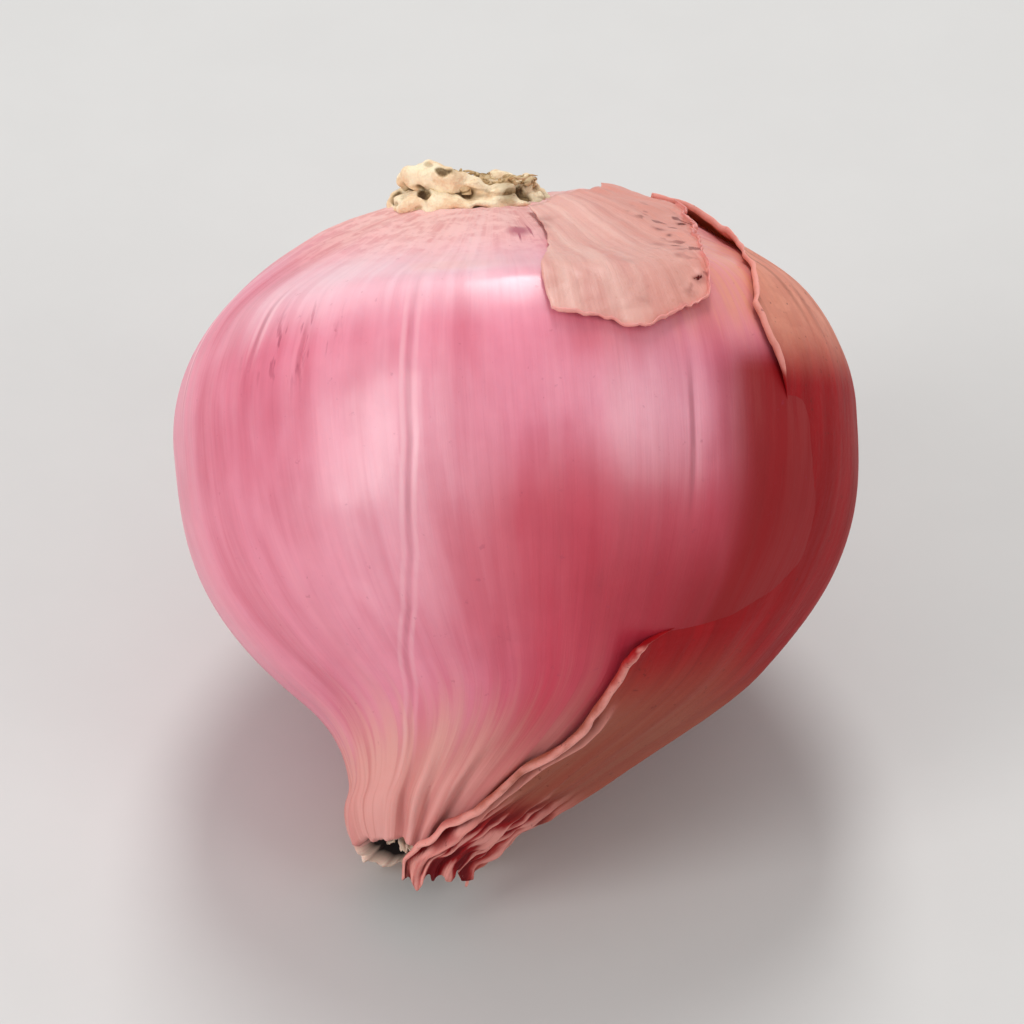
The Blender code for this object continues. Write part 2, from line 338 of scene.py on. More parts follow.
def chain(tree, operation, first, *others):  # one operation over several values, in turn
    for other in others:
        first = calc(tree, operation, first, other)
    return first


def remap(tree, value, low, high, toLow=0.0, toHigh=1.0):
    return addNode(tree, "ShaderNodeMapRange",
                   {"Value": value, "From Min": low, "From Max": high,
                    "To Min": toLow, "To Max": toHigh},
                   interpolation_type="SMOOTHSTEP").outputs[0]


def mixColour(tree, factor, first, second, mode="MIX"):
    return addNode(tree, "ShaderNodeMix", {0: factor, 6: first, 7: second},
                   data_type="RGBA", blend_type=mode).outputs[2]


def layered(tree, colour, look, *layers):  # tones of a look over a colour, each with its mask
    for mask, tone in layers:
        mode = "MULTIPLY" if tone.startswith("fibre") else "MIX"
        colour = mixColour(tree, mask, colour, look[tone], mode)
    return colour


def readField(tree, name):
    return addNode(tree, "ShaderNodeAttribute", attribute_name=name).outputs["Vector"]


def splitField(tree, vector):
    return addNode(tree, "ShaderNodeSeparateXYZ", {0: vector}).outputs


def noiseNode(tree, **inputs):
    return addNode(tree, "ShaderNodeTexNoise", inputs).outputs["Fac"]


def newGroup(name, **inputs):  # a node group that gives a mask; an input of None is a vector
    group = bpy.data.node_groups.new(name, "ShaderNodeTree")
    for label, value in inputs.items():
        kind = "NodeSocketVector" if value is None else "NodeSocketFloat"
        made = group.interface.new_socket(name=label, in_out="INPUT", socket_type=kind)
        if value is not None:
            made.default_value = value
    group.interface.new_socket(name="Mask", in_out="OUTPUT", socket_type="NodeSocketFloat")
    given, out = group.nodes.new("NodeGroupInput"), group.nodes.new("NodeGroupOutput")
    return group, given.outputs, out.inputs


def makeFibreGroup():  # lengthwise fibres: noise stretched along the skin
    group, given, out = newGroup("skinFibres", Coordinate=None, Across=20.0, Lengthwise=1.0,
                                 Seed=0.0, Low=0.35, High=0.65)
    x, y, z = splitField(group, given["Coordinate"])
    lengthwise = calc(group, "MULTIPLY", z, given["Lengthwise"])
    stretched = addNode(group, "ShaderNodeCombineXYZ", {
        0: calc(group, "MULTIPLY", x, given["Across"]),
        1: calc(group, "MULTIPLY", y, given["Across"]),
        2: calc(group, "ADD", lengthwise, given["Seed"])}).outputs[0]
    grain = noiseNode(group, Vector=stretched, Scale=1.0, Detail=3.0, Roughness=0.55,
                      Distortion=0.15)
    group.links.new(remap(group, grain, given["Low"], given["High"]), out["Mask"])
    return group


def makeSpeckGroup():  # irregular specks or blotches, of a size in metres
    group, given, out = newGroup("specks", Size=0.001, Seed=0.0, Low=0.6, High=0.7)
    where = addNode(group, "ShaderNodeTexCoord").outputs["Object"]
    shifted = addNode(group, "ShaderNodeVectorMath", {0: where, 1: given["Seed"]},
                      operation="ADD").outputs[0]
    grain = noiseNode(group, Vector=shifted, Scale=calc(group, "DIVIDE", 1.0, given["Size"]),
                      Detail=4.0, Roughness=0.6)
    group.links.new(remap(group, grain, given["Low"], given["High"]), out["Mask"])
    return group


# the paler edge this gives is partly dried skin and partly a painted highlight on the raised,
# curled rim
def makeEdgeGroup():  # a dried, torn edge: distance from it in, an uneven mask out
    group, given, out = newGroup("driedEdge", Distance=0.001, Width=0.001, Ragged=0.5)
    where = addNode(group, "ShaderNodeTexCoord").outputs["Object"]
    grain = noiseNode(group, Vector=where, Scale=1400.0, Detail=3.0)
    wobble = calc(group, "MULTIPLY", calc(group, "SUBTRACT", grain, 0.5), given["Ragged"])
    share = calc(group, "ADD", calc(group, "DIVIDE", given["Distance"], given["Width"]), wobble)
    group.links.new(remap(group, share, 1.0, 0.15), out["Mask"])
    return group


fibreGroup = makeFibreGroup()
speckGroup = makeSpeckGroup()
edgeGroup = makeEdgeGroup()


def useGroup(tree, group, **values):
    return setInputs(tree, addNode(tree, "ShaderNodeGroup", node_tree=group), values).outputs[0]


def fibreMask(tree, coordinate, across, lengthwise, seed, low=0.35, high=0.65):
    return useGroup(tree, fibreGroup, Coordinate=coordinate, Across=across,
                    Lengthwise=lengthwise, Seed=seed, Low=low, High=high)


def speckMask(tree, size, seed, low, high):
    return useGroup(tree, speckGroup, Size=size * mm, Seed=seed, Low=low, High=high)


def spreadMask(tree, mask, low, high):  # a mask's 0 to 1 as low to high
    return remap(tree, mask, 0.0, 1.0, low, high)


def toolsFor(tree):  # multiplying, adding, spreading and speckling, in one tree
    return (partial(chain, tree, "MULTIPLY"), partial(chain, tree, "ADD"),
            partial(spreadMask, tree), partial(speckMask, tree))


def newMaterial(name, **constants):
    material = bpy.data.materials.new(name)
    material.use_nodes = True
    tree = material.node_tree
    return material, tree, setInputs(tree, tree.nodes["Principled BSDF"], constants)


def feed(tree, shader, colour, roughness, height, bumpDistance, bumpStrength):
    tree.links.new(colour, shader.inputs["Base Color"])
    tree.links.new(roughness, shader.inputs["Roughness"])
    bump = addNode(tree, "ShaderNodeBump", {"Height": height, "Distance": bumpDistance,
                                            "Strength": bumpStrength})
    tree.links.new(bump.outputs[0], shader.inputs["Normal"])


# The bulb's skin
skinLook = {
    # pale: partly the skin's own paler tone, partly a painted highlight and painted reflections
    "pink": paint(233, 138, 160), "rose": paint(212, 100, 124), "paleAndHighlight": paint(244, 192, 203),
    # deepRedAndShade: partly the skin's own deep red, partly painted shade on the right side
    "deepRedAndShade": paint(150, 5, 14), "magenta": paint(196, 42, 66),
    "neckTan": paint(224, 160, 150), "neckBrown": paint(196, 124, 112),
    "neckRed": paint(178, 84, 84),
    "rootTan": paint(234, 184, 178), "rootPurple": paint(216, 152, 148),
    # line and darkLine: partly the lines' own tone, partly a painted highlight on their raised
    # sides and painted shade in their grooves
    "line": paint(252, 206, 212), "darkLine": paint(140, 52, 66), "stroke": paint(156, 52, 82),
    # hollow: painted shade inside the neck's hollow
    "shoulderTan": paint(226, 148, 120), "hollowShade": paint(24, 10, 8), "lip": paint(244, 216, 196),
    "roughness": 0.42, "dryRoughness": 0.6, "fibreLift": (1.12, 1.18, 1.15, 1.0),
    "fibreDrop": (0.90, 0.78, 0.82, 1.0),
}


def makeSkinMaterial():
    look = skinLook
    material, tree, shader = newMaterial("pinkSkin", **{
        "Subsurface Weight": 0.12, "Subsurface Radius": (1.0, 0.25, 0.2),
        "Subsurface Scale": 0.8 * mm, "Coat Roughness": 0.22, "Specular IOR Level": 0.26})
    times, plus, spread, specks = toolsFor(tree)
    fibre = partial(fibreMask, tree, readField(tree, "skinCoord"))
    neck, paleAndHighlight, red = splitField(tree, readField(tree, "zones"))
    root, inside, strokesAndCurlShade = splitField(tree, readField(tree, "marks"))
    tan, deep, lip = splitField(tree, readField(tree, "tints"))
    lineAway, lineLight, lineDark = splitField(tree, readField(tree, "nearLine"))

    broad = fibre(3.2, 1.4, 2.0, 0.36, 0.62)
    medium = fibre(11.0, 1.2, 5.0, 0.36, 0.64)
    fine = fibre(34.0, 2.2, 9.0, 0.34, 0.68)
    thread = fibre(72.0, 3.0, 14.0, 0.52, 0.72)
    mottle = specks(3.2, 11.0, 0.40, 0.62)
    smooth = remap(tree, neck, 0.0, 0.7, 1.0, 0.25)
    colour = mixColour(tree, broad, look["rose"], look["pink"])
    colour = layered(tree, colour, look, (times(medium, 0.45), "pink"),
                     # deep red: partly the skin's own, partly painted shade on the right side
                     (times(deep, 0.85), "magenta"), (red, "deepRedAndShade"),
                     # the pale tone: partly the skin's own, partly painted highlight and painted
                     # reflections
                     (times(paleAndHighlight, spread(medium, 0.75, 1.0)), "paleAndHighlight"),
                     (times(tan, spread(fine, 0.6, 1.0)), "shoulderTan"),
                     (times(mottle, 0.35), "fibreDrop"),
                     (times(fine, 0.35, smooth), "fibreLift"),
                     (times(thread, 0.25, smooth), "fibreDrop"))
    # the dry neck
    neckShare = remap(tree, plus(neck, times(medium, 0.35)), 0.25, 1.15)
    neckColour = mixColour(tree, spread(medium, 0.35, 1.0), look["neckBrown"], look["neckTan"])
    neckColour = layered(tree, neckColour, look, (times(deep, 0.8), "neckRed"))
    colour = mixColour(tree, times(neckShare, 0.9), colour, neckColour)
    # the collar at the root end
    rootColour = mixColour(tree, specks(0.9, 3.0, 0.42, 0.58), look["rootPurple"],
                           look["rootTan"])
    rootColour = layered(tree, rootColour, look, (times(fine, 0.7), "rootTan"))
    colour = mixColour(tree, root, colour, rootColour)
    # lines (partly painted highlight on their raised sides, painted shade in their grooves),
    # strokes (the second a painted shadow under a curled edge) and painted shade in the hollow; a
    # stroke is broken up by fibres, and whole where its field is over 1
    # a line's light sides are partly a painted highlight on its ridges; its dark core is painted
    # shade in its groove
    lineAway = calc(tree, "ABSOLUTE", lineAway)
    broken = spread(fibre(12.0, 3.0, 17.0), 0.5, 1.0)
    lineSide = calc(tree, "ABSOLUTE", calc(tree, "SUBTRACT", lineAway, 0.34))
    lineSide = times(remap(tree, lineSide, 0.20, 0.03), lineLight, broken)
    lineCore = times(remap(tree, lineAway, 0.22, 0.05), lineDark, broken)
    # where the field is over 1, at the painted shadow by the flap's foot, the stroke is whole
    whole = calc(tree, "MAXIMUM", calc(tree, "SUBTRACT", strokesAndCurlShade, 1.0), 0.0)
    brokenUp = times(strokesAndCurlShade, fibre(26.0, 7.0, 21.0, 0.56, 0.64))
    strokeMask = calc(tree, "ADD", brokenUp, whole, True)
    pores = specks(0.55, 8.0, 0.66, 0.74)
    colour = layered(tree, colour, look, (times(lineSide, 0.34), "line"),
                     (times(lineCore, 0.48), "darkLine"), (times(strokeMask, 0.75), "stroke"),
                     (times(pores, 0.25), "stroke"),
                     (times(lip, spread(fine, 0.7, 1.0)), "lip"), (inside, "hollowShade"))

    dry = chain(tree, "MAXIMUM", neckShare, root, inside)
    roughness = plus(spread(dry, look["roughness"], look["dryRoughness"]), times(fine, 0.06),
                     times(red, 0.12))
    height = plus(times(fine, 0.7), times(fibre(110.0, 4.0, 30.0), 0.3), times(lineSide, 0.8))
    height = calc(tree, "SUBTRACT", height, times(lineCore, 0.8))
    feed(tree, shader, colour, roughness, height, 0.02 * mm, 0.5)
    gloss = calc(tree, "SUBTRACT", plus(0.40, times(paleAndHighlight, 0.45)), times(red, 0.34))
    gloss = calc(tree, "MULTIPLY", gloss, remap(tree, dry, 0.0, 0.8, 1.0, 0.0), True)
    tree.links.new(gloss, shader.inputs["Coat Weight"])
    return material


bulbSkin = {
    "rows": 186, "columns": 456, "capRows": 12,
    "frontColumns": 1.1, "frontWidth": 60.0,  # columns closer together on the side that shows
    # extra rows there, as a share of the usual closeness, and where they begin along
    "neckRows": 2.2, "neckRowsFrom": (0.80, 1.05), "rootRows": 0.8, "rootRowsFrom": (0.40, 0.60),
    "raggedFrom": 0.98, "ragged": 0.022, "fineRagged": 0.020,
    # how far the mouth's torn rim lies beyond the neck's end: all round, more to the right, and
    # more on its underside, in radii
    "rimOut": -0.025, "rimRight": 0.085, "rightMost": 0.1, "rimBelow": 0.065,
    "belowTurn": -135.0, "belowWidth": 60.0,
    "flareFrom": 1.00, "flareTo": 1.15, "flare": 0.75 * mm, "flareTurn": -88.0,
    "flareWidth": 50.0,  # the left lip turns outwards
    "capFrom": 0.06, "capLumps": 0.25 * mm,
    "crumpleTurn": 50.0, "crumpleWidth": 42.0, "crumple": 0.45 * mm,
    # share of the mouth's radius and depth in mm, from the lip to the middle of the hollow
    "mouth": ((0.955, -0.06), (0.90, 0.02), (0.86, 0.25), (0.82, 0.6), (0.76, 1.1), (0.68, 1.7),
              (0.56, 2.2), (0.42, 2.4), (0.28, 2.5), (0.14, 2.55)),
    "mouthFoot": 14,  # the mouth's axis runs from this many rows below the lip
    "lipWave": 0.22 * mm, "mouthGrain": 0.12 * mm, "rest": 0.10 * mm,
}
# Where the tones lie: turns in degrees, the rest along. A pair is where a tone begins and where
# it is full; two more numbers are where it fades and where it ends.
skinZones = {
    "neck": (0.66, 1.07), "shoulderAlong": (-0.16, -0.36), "shoulderRight": (20, -12),
    "shoulderLeft": (-72, -46), "shoulderSlant": 30, "shoulderFoot": -0.4,
    # along, around, length, width, strength
    # the pale patches and the pale band are painted reflections of the two front lights; the pale
    # shoulder is partly a painted highlight
    "palePatches": ((0.08, -24, 0.30, 15, 0.50), (0.06, 18, 0.26, 13, 0.40)),
    "paleBand": (0.1, 0.3, 0.5, 0.85), "paleBandTurn": -30, "paleBandWidth": 22,
    "paleBandShare": 0.25,
    # the red zones on the right and lower right are partly the skin's deep red and partly painted
    # shade
    "red": (26, 41, 120, 175), "redAlong": (-0.16, -0.02),
    "lowRedAndShade": (0, 34, 120, 175), "lowRedAlong": (0.30, 0.60), "lowRedShare": 0.8,
    "redEnd": (0.84, 1.0), "redEndShare": 0.65,
    "deep": (-32, 2, 60, 110), "deepAlong": (0.06, 0.38), "deepEnd": (0.85, 1.1),
    # the deep patch is a painted shadow just under the flap's lower edge
    "deepEndShare": 0.6, "underFlapShadow": (-0.12, 13, 0.07, 9), "deepPatchShare": 0.6,
    "tanTurn": 52, "tanWidth": 26, "tanAlong": (-0.06, -0.24), "root": (0.46, 0.68),
    "below": (82, 105), "belowNot": (40, 90, 110, 150), "lip": (1.07, 1.17),
    # the first stroke is a dark mark on the skin; the second is a painted shadow under the curled
    # edge at the flap's left foot
    "strokesAndCurlShade": ((-0.20, -44, 0.10, 8, 1.0), (-0.632, 3, 0.020, 6, 2.2)),
    "lineReach": (1.5, 1.0),  # in mm
}


def rowPlaces(count):  # along values, spread by surface length with more rows at both ends
    s = bulbSkin
    along = np.linspace(bulbForm["rootFlat"], bulbForm["neckEnd"], 4000)  # close enough to add up
    length = np.hypot(np.gradient(profileRadius(along)), np.gradient(along))
    weight = (1 + s["neckRows"] * ramp(*s["neckRowsFrom"], along)
              + s["rootRows"] * ramp(*s["rootRowsFrom"], -along))
    total = np.cumsum(length * weight)
    return np.interp(np.linspace(total[0], total[-1], count), total, along)


def columnPlaces(count):  # turns round the bulb, closer together at its front
    turn = np.linspace(-180, 180, 3601)  # every tenth of a degree
    weight = 1 + bulbSkin["frontColumns"] * hump(turn, bulbSkin["frontWidth"])
    total = np.concatenate([[0], np.cumsum(weight[1:])])
    return np.radians(np.interp(np.arange(count) / count * total[-1], total, turn))


def neckPlaces(along, ring):  # rows past the torn part's start, drawn out to an uneven rim
    s = bulbSkin
    fromBelow = (np.degrees(ring) - s["belowTurn"] + 180) % 360 - 180
    end = (bulbForm["neckEnd"] + s["rimOut"]
           + s["rimRight"] * np.minimum(np.sin(ring), s["rightMost"])
           + s["rimBelow"] * hump(fromBelow, s["belowWidth"])
           + s["ragged"] * ringNoise(ring, 2.6, 41) + s["fineRagged"] * ringNoise(ring, 8.0, 43))
    stretch = (end[None] - s["raggedFrom"]) / (bulbForm["neckEnd"] - s["raggedFrom"])
    return np.where(along > s["raggedFrom"],
                    s["raggedFrom"] + (along - s["raggedFrom"]) * stretch, along)


def rootCap(firstRow, along, ring):  # the root end's shallow cap, from its middle outwards
    s = bulbSkin
    shares = np.linspace(s["capFrom"], 1, s["capRows"], endpoint=False)[:, None]
    around = ring[None] + 0 * shares
    cap = bulbMiddle + bulbRadius * unitSurface(0 * around + bulbForm["rootFlat"], around, shares)
    edgeOff = firstRow - (bulbMiddle + bulbRadius * unitSurface(along, ring))
    cap = cap + edgeOff[None] * shares[..., None] ** 2
    lumps = s["capLumps"] * fieldNoise(shares * 2 + 0 * around, around, 5, 6, 15)
    return cap + (lumps * shares * (1 - shares) * 2)[..., None] * -axisNeck


def mouthRings(points, ring, evenly):  # the mouth, from the lip inwards
    s = bulbSkin
    lip = points[-1]
    middle = (lip * evenly).sum(0)
    crumpled = hump(np.degrees(ring) - s["crumpleTurn"], s["crumpleWidth"])
    mouthAxis = unitLength(middle - (points[-s["mouthFoot"]] * evenly).sum(0))
    rings = []
    for share, depth in s["mouth"]:
        row = middle + (lip - middle) * share
        sink = depth * mm * (1 - 0.92 * crumpled * ramp(0.2, 0.5, share))
        row = row - sink[:, None] * mouthAxis
        folds = s["crumple"] * crumpled * ramp(0.98, 0.85, share)
        row = row + (folds * pointNoise(row, 0.8 * mm, 4))[:, None] * mouthAxis
        row = row + s["mouthGrain"] * pointNoise(row, 0.5 * mm, 6)[:, None] * mouthAxis
        wave = s["lipWave"] * (1 - share) * ringNoise(ring, 3.4, 45)
        rings.append(row + wave[:, None] * unitLength(lip - middle))
    return np.array(rings)


def skinTones(a, around, plainRows):  # the fields that the skin's material reads
    s, z = bulbSkin, skinZones
    turn = np.degrees(around)
    wander = fieldNoise(a, around, 3.0, 2.0, 51)
    wavy, lessWavy = a + 0.05 * wander, a + 0.04 * wander
    neck = ramp(*z["neck"], wavy)
    # paler on the top shoulder, partly the skin's own tone and partly a painted highlight, with
    # painted reflections of the front lights in patches and a band
    paleAndHighlight = (ramp(*z["shoulderAlong"], lessWavy) * ramp(*z["shoulderRight"], turn)
            * ramp(*z["shoulderLeft"], turn + z["shoulderSlant"] * (a - z["shoulderFoot"]))
            + z["paleBandShare"] * hump(turn - z["paleBandTurn"], z["paleBandWidth"])
            * window(a, *z["paleBand"])
            + sum(share * patch(a, turn, *spot) for *spot, share in z["palePatches"]))
    # deeper red on the right and lower right: partly the skin's own colour, partly painted shade
    red = window(turn, *z["red"], 6 * wander) * ramp(*z["redAlong"], wavy)
    lowRedAndShade = (z["lowRedShare"] * window(turn, *z["lowRedAndShade"], 9 * wander)
              * ramp(*z["lowRedAlong"], a))
    red = np.maximum(red, lowRedAndShade) * (1 - z["redEndShare"] * ramp(*z["redEnd"], a))
    deep = (window(turn, *z["deep"], 10 * wander) * ramp(*z["deepAlong"], wavy)
            * (1 - z["deepEndShare"] * ramp(*z["deepEnd"], a)))
    # a painted shadow under the flap's lower edge, laid into the magenta tint
    deep = np.maximum(deep, z["deepPatchShare"] * patch(a, turn, *z["underFlapShadow"]))
    tan = hump(turn - z["tanTurn"], z["tanWidth"]) * ramp(*z["tanAlong"], lessWavy)
    rootEnd = ramp(*z["root"], -a + 0.05 * wander)
    # inside: painted shade in the neck's hollow, darker the deeper the mouth goes
    depths = np.clip((np.array(s["mouth"])[:, 1] - 0.1) / 0.5, 0, 1)
    inside = np.concatenate([np.zeros(plainRows), depths])[:, None] + 0 * a
    inside = inside * (1 - 0.75 * hump(turn - s["crumpleTurn"], s["crumpleWidth"]))
    below = ramp(*z["below"], np.abs(turn) + 10 * wander)
    below = below * (1 - window(turn, *z["belowNot"]))
    lip = ramp(*z["lip"], a + 0.03 * wander) * below
    # the second of these is a painted shadow under the curled edge at the flap's foot
    first, second = (share * patch(a, turn, *spot) for *spot, share in z["strokesAndCurlShade"])
    nearest, light, dark = 3 + 0 * a, 0 * a, 0 * a
    for path, lineLight, lineDark, *shown in skinLines:
        away = sideways(a, around, path) / mm
        strength = lineShown(a, *shown) * ramp(*z["lineReach"], np.abs(away))
        nearest = np.where(strength > 0.01, away, nearest)
        light, dark = light + lineLight * strength, dark + lineDark * strength
    return {"skinCoord": (np.cos(around), np.sin(around), a),
            "zones": (neck, np.clip(paleAndHighlight, 0, 1), red * (1 - neck)),
            "marks": (rootEnd, inside, np.maximum(first, second)),
            "tints": (tan, deep, lip), "nearLine": (nearest, light, dark)}


def makeBulbSkin():
    s = bulbSkin
    ring = columnPlaces(s["columns"])
    width = (np.roll(ring, -1) - np.roll(ring, 1)) % (2 * math.pi)
    evenly = (width / width.sum())[:, None]  # each column's share of a whole ring
    along = neckPlaces(rowPlaces(s["rows"])[:, None] + 0 * ring, ring)
    around = ring + 0 * along
    flare = s["flare"] * hump(np.degrees(around) - s["flareTurn"], s["flareWidth"]) * ramp(
        s["flareFrom"], s["flareTo"], along)
    points, _ = skinPoints(along, around, skinHeight(along, around) + flare)
    cap = rootCap(points[0], along[0], ring)
    mouth = mouthRings(points, ring, evenly)

    grid = np.concatenate([cap, points, mouth])
    gridAlong = np.concatenate([0 * cap[..., 0] + bulbForm["rootFlat"], along,
                                0 * mouth[..., 0] + bulbForm["neckEnd"]])
    gridAround = np.broadcast_to(ring, gridAlong.shape)
    tips = np.array(((grid[0] * evenly).sum(0), (grid[-1] * evenly).sum(0)))
    allPoints = np.concatenate([grid.reshape(-1, 3), tips])
    low = allPoints[:, 2]
    allPoints[:, 2] = (low + np.sqrt(low ** 2 + s["rest"] ** 2)) / 2  # settled on its belly
    rows, columns = gridAlong.shape
    faces = gridFaces(rows, columns, wrap=True)
    corners = np.arange(columns)
    faces += fanFaces(corners, rows * columns, True)
    faces += fanFaces(corners + (rows - 1) * columns, rows * columns + 1, False)
    fields = {}
    for name, parts in skinTones(gridAlong, gridAround, len(cap) + len(points)).items():
        field = vectorField(*parts).reshape(-1, 3)
        fields[name] = np.concatenate([field, field[:1], field[-1:]])
    piece = newPiece("bulbSkin", allPoints, faces, fields)
    return finishPiece(piece, makeSkinMaterial(), "pink_skin", "bulb")


makeBulbSkin()

# Dried, papery skins
def makePaperMaterial(name, look):
    material, tree, shader = newMaterial(name, **{
        "Subsurface Weight": 0.15, "Subsurface Radius": (1.0, 0.45, 0.3),
        "Subsurface Scale": 0.5 * mm, "Coat Weight": look["coat"], "Coat Roughness": 0.3,
        "Specular IOR Level": look["gloss"]})
    times, plus, spread, specks = toolsFor(tree)
    fibre = partial(fibreMask, tree, readField(tree, "skinCoord"))
    distance, firstTone, secondTone = splitField(tree, readField(tree, "paper"))
    folds, gaps, _ = splitField(tree, readField(tree, "folds"))
    # folds: painted highlight on crests; gaps: painted shade in troughs and grooves
    broad, fine = fibre(9.0, 1.6, 3.0), fibre(42.0, 2.5, 7.0)
    veins = fibre(24.0, 1.8, 12.0, 0.55, 0.68)
    blotch = specks(1.6, 5.0, 0.40, 0.62)
    # dried: a paler edge, partly dried skin and partly a painted highlight on the raised rim
    dried = useGroup(tree, edgeGroup, Distance=distance, Width=look["edgeWidth"], Ragged=0.9)
    colour = layered(tree, mixColour(tree, broad, look["dark"], look["light"]), look,
                     (times(firstTone, spread(blotch, 0.86, 1.0)), "first"),
                     (times(secondTone, spread(broad, 0.75, 1.0)), "second"),
                     (times(gaps, 0.85), "gap"), (folds, "edge"),
                     (times(fine, 0.4), "fibreLift"), (times(veins, 0.45), "fibreDrop"),
                     (times(dried, look["edgeShare"]), "edge"),
                     (times(specks(0.45, 9.0, 0.64, 0.72), look["speckShare"]), "speck"))
    roughness = plus(look["roughness"], times(fine, 0.1))
    height = plus(times(fine, 0.6), times(specks(0.5, 2.0, 0.3, 0.7), 0.8))
    feed(tree, shader, colour, roughness, height, 0.03 * mm, 0.6)
    return material


def tableGrid(edges, rows, columns, closeness):
    # a grid of (along, around) between two torn edges, its columns closer together at the first
    table = np.array(edges, float)
    table[:, 1::2] = np.radians(table[:, 1::2])
    sides = [skinPoints(table[:, k], table[:, k + 1])[0] for k in (0, 2)]
    gaps = np.maximum(*(np.linalg.norm(np.diff(side, axis=0), axis=1) for side in sides))
    place = np.concatenate([[0], np.cumsum(gaps)])
    where = np.linspace(0, place[-1], rows)
    first, firstTurn, second, secondTurn = (np.interp(where, place, column)[:, None]
                                            for column in table.T)
    share = np.linspace(0, 1, columns)[None] ** closeness
    return first + (second - first) * share, firstTurn + (secondTurn - firstTurn) * share


def smoothRows(values, times):  # rounds off a line of values, ends kept
    for _ in range(times):
        middle = (values[:-2] + 2 * values[1:-1] + values[2:]) / 4
        values = np.concatenate([values[:1], middle, values[-1:]])
    return values


def sheetFields(along, around, distance, firstTone, secondTone, folds=0.0, gaps=0.0):
    return {"skinCoord": vectorField(np.cos(around), np.sin(around), along),
            "paper": vectorField(distance, firstTone, secondTone),
            "folds": vectorField(folds + 0 * distance, gaps, 0.0)}


def withRim(field, steps):  # repeats a field's first column for the curled rim's columns
    return np.concatenate([np.repeat(field[:, :1], steps, axis=1), field], axis=1)


# The torn jacket on the right side
jacket = {
    # front edge along and around, back edge along and around
    "edges": ((-0.64, 96, -0.64, 150), (-0.585, 84, -0.585, 150), (-0.53, 70, -0.55, 150),
              (-0.41, 53, -0.47, 150), (-0.31, 47.5, -0.38, 150), (-0.22, 43.5, -0.30, 150),
              (-0.11, 44, -0.20, 150), (0.03, 47.5, -0.08, 150), (0.25, 50, 0.08, 148),
              (0.40, 53, 0.20, 146), (0.50, 53, 0.30, 144), (0.575, 48, 0.40, 142),
              (0.645, 39, 0.50, 141), (0.68, 29, 0.56, 140), (0.71, 20, 0.62, 139),
              (0.78, 19, 0.68, 137), (0.87, 18.5, 0.78, 134), (0.92, 19.5, 0.86, 131),
              (0.955, 18.5, 0.91, 128), (0.985, 15, 0.95, 125), (1.015, 11, 0.99, 122),
              (1.055, 8, 1.04, 119), (1.10, 4, 1.09, 116), (1.14, -5, 1.14, 113),
              (1.19, -16, 1.18, 110), (1.25, -22, 1.24, 106), (1.31, -22, 1.30, 102)),
    "rows": 240, "columns": 84, "closeness": 1.25, "rimSteps": 10, "thickness": 0.07 * mm,
    "gap": 0.15 * mm, "flushGap": 0.04 * mm, "wave": 0.14 * mm,
    "ragged": 0.16 * mm, "fineRagged": 0.09 * mm, "smoothFrom": 0.72, "smoothTo": 0.80,
    "sink": 0.11 * mm, "sinkWidth": 1.5 * mm,  # its edge dips into the bulb where it lies flush
    "edgeRise": 0.20 * mm, "riseWidth": 0.9 * mm,
    # it lies flush on the bulb between these two places
    "flushFrom": 0.02, "flushTo": 0.665,
    # radius and turn of the rolled rim at the top, where it lies flush, and from the hook down
    "rimRadius": (0.13 * mm, 0.02 * mm, 0.19 * mm), "rimTurn": (150.0, 60.0, 205.0),
    "wrinkleFrom": 1.06, "wrinkleTo": 1.17, "wrinkle": 0.42 * mm, "wrinkleSize": 0.42 * mm,
    # the fold beside the front edge: its distance, width and rise, and where it starts
    "foldPlace": 0.92 * mm, "foldWidth": 0.25 * mm, "fold": 0.34 * mm, "foldFrom": 0.84,
    "closeFrom": 1.22, "close": 0.35 * mm, "endRagged": 0.055,  # the twisted end
    # along, around, length, width, rise: where it stands off
    "standsOff": ((-0.60, 88, 0.05, 16, 0.40 * mm), (-0.53, 68, 0.04, 5, 0.25 * mm),
                  (0.715, 20, 0.03, 4, 0.34 * mm), (1.18, 10, 0.07, 34, 0.40 * mm)),
    # where its tones lie, along
    "tan": (0.0, -0.22), "brown": (0.68, 0.94), "brownEnd": (1.08, 1.16), "streaks": (-0.05, -0.30),
}
jacketLook = {
    "dark": paint(146, 8, 16), "light": paint(164, 16, 24), "first": paint(222, 144, 122),
    # edge: partly the paler dried edge, partly a painted highlight on the rim and on crests
    "second": paint(158, 88, 70), "edge": paint(240, 160, 150), "edgeWidth": 0.34 * mm,
    "edgeShare": 0.85, "speck": paint(90, 30, 26), "speckShare": 0.5, "roughness": 0.55,
    # gap: the colour of the painted shade in troughs and grooves
    "coat": 0.03, "gloss": 0.18, "gap": paint(96, 8, 16), "fibreLift": (1.16, 1.18, 1.16, 1.0),
    "fibreDrop": (0.80, 0.68, 0.66, 1.0),
}


def jacketLift(along, around, front, fromFront, loose):  # metres that it stands over the plain form
    s = jacket
    fromBack = fromFront[:, -1:] - fromFront
    uneven = np.clip(0.55 + 0.75 * pointNoise(front, 2.6 * mm, 13), 0.1, 1.2)[:, None]
    away = np.maximum(loose, ramp(0.5 * mm, 5.0 * mm, fromFront))
    lift = (skinHeight(along, around) + s["flushGap"] + (s["gap"] - s["flushGap"]) * away
            + s["wave"] * away * np.clip(fieldNoise(along, around, 7.0, 2.0, 17) + 0.2, 0, 1)
            + s["edgeRise"] * loose * uneven * hump(fromFront, s["riseWidth"])
            + 0.5 * s["edgeRise"] * hump(fromBack, s["riseWidth"])
            - s["sink"] * (1 - loose) * hump(fromFront, s["sinkWidth"])
            - s["close"] * ramp(s["closeFrom"], s["edges"][-1][0], along))
    for *spot, rise in s["standsOff"]:
        lift += rise * patch(along, np.degrees(around), *spot)
    return lift


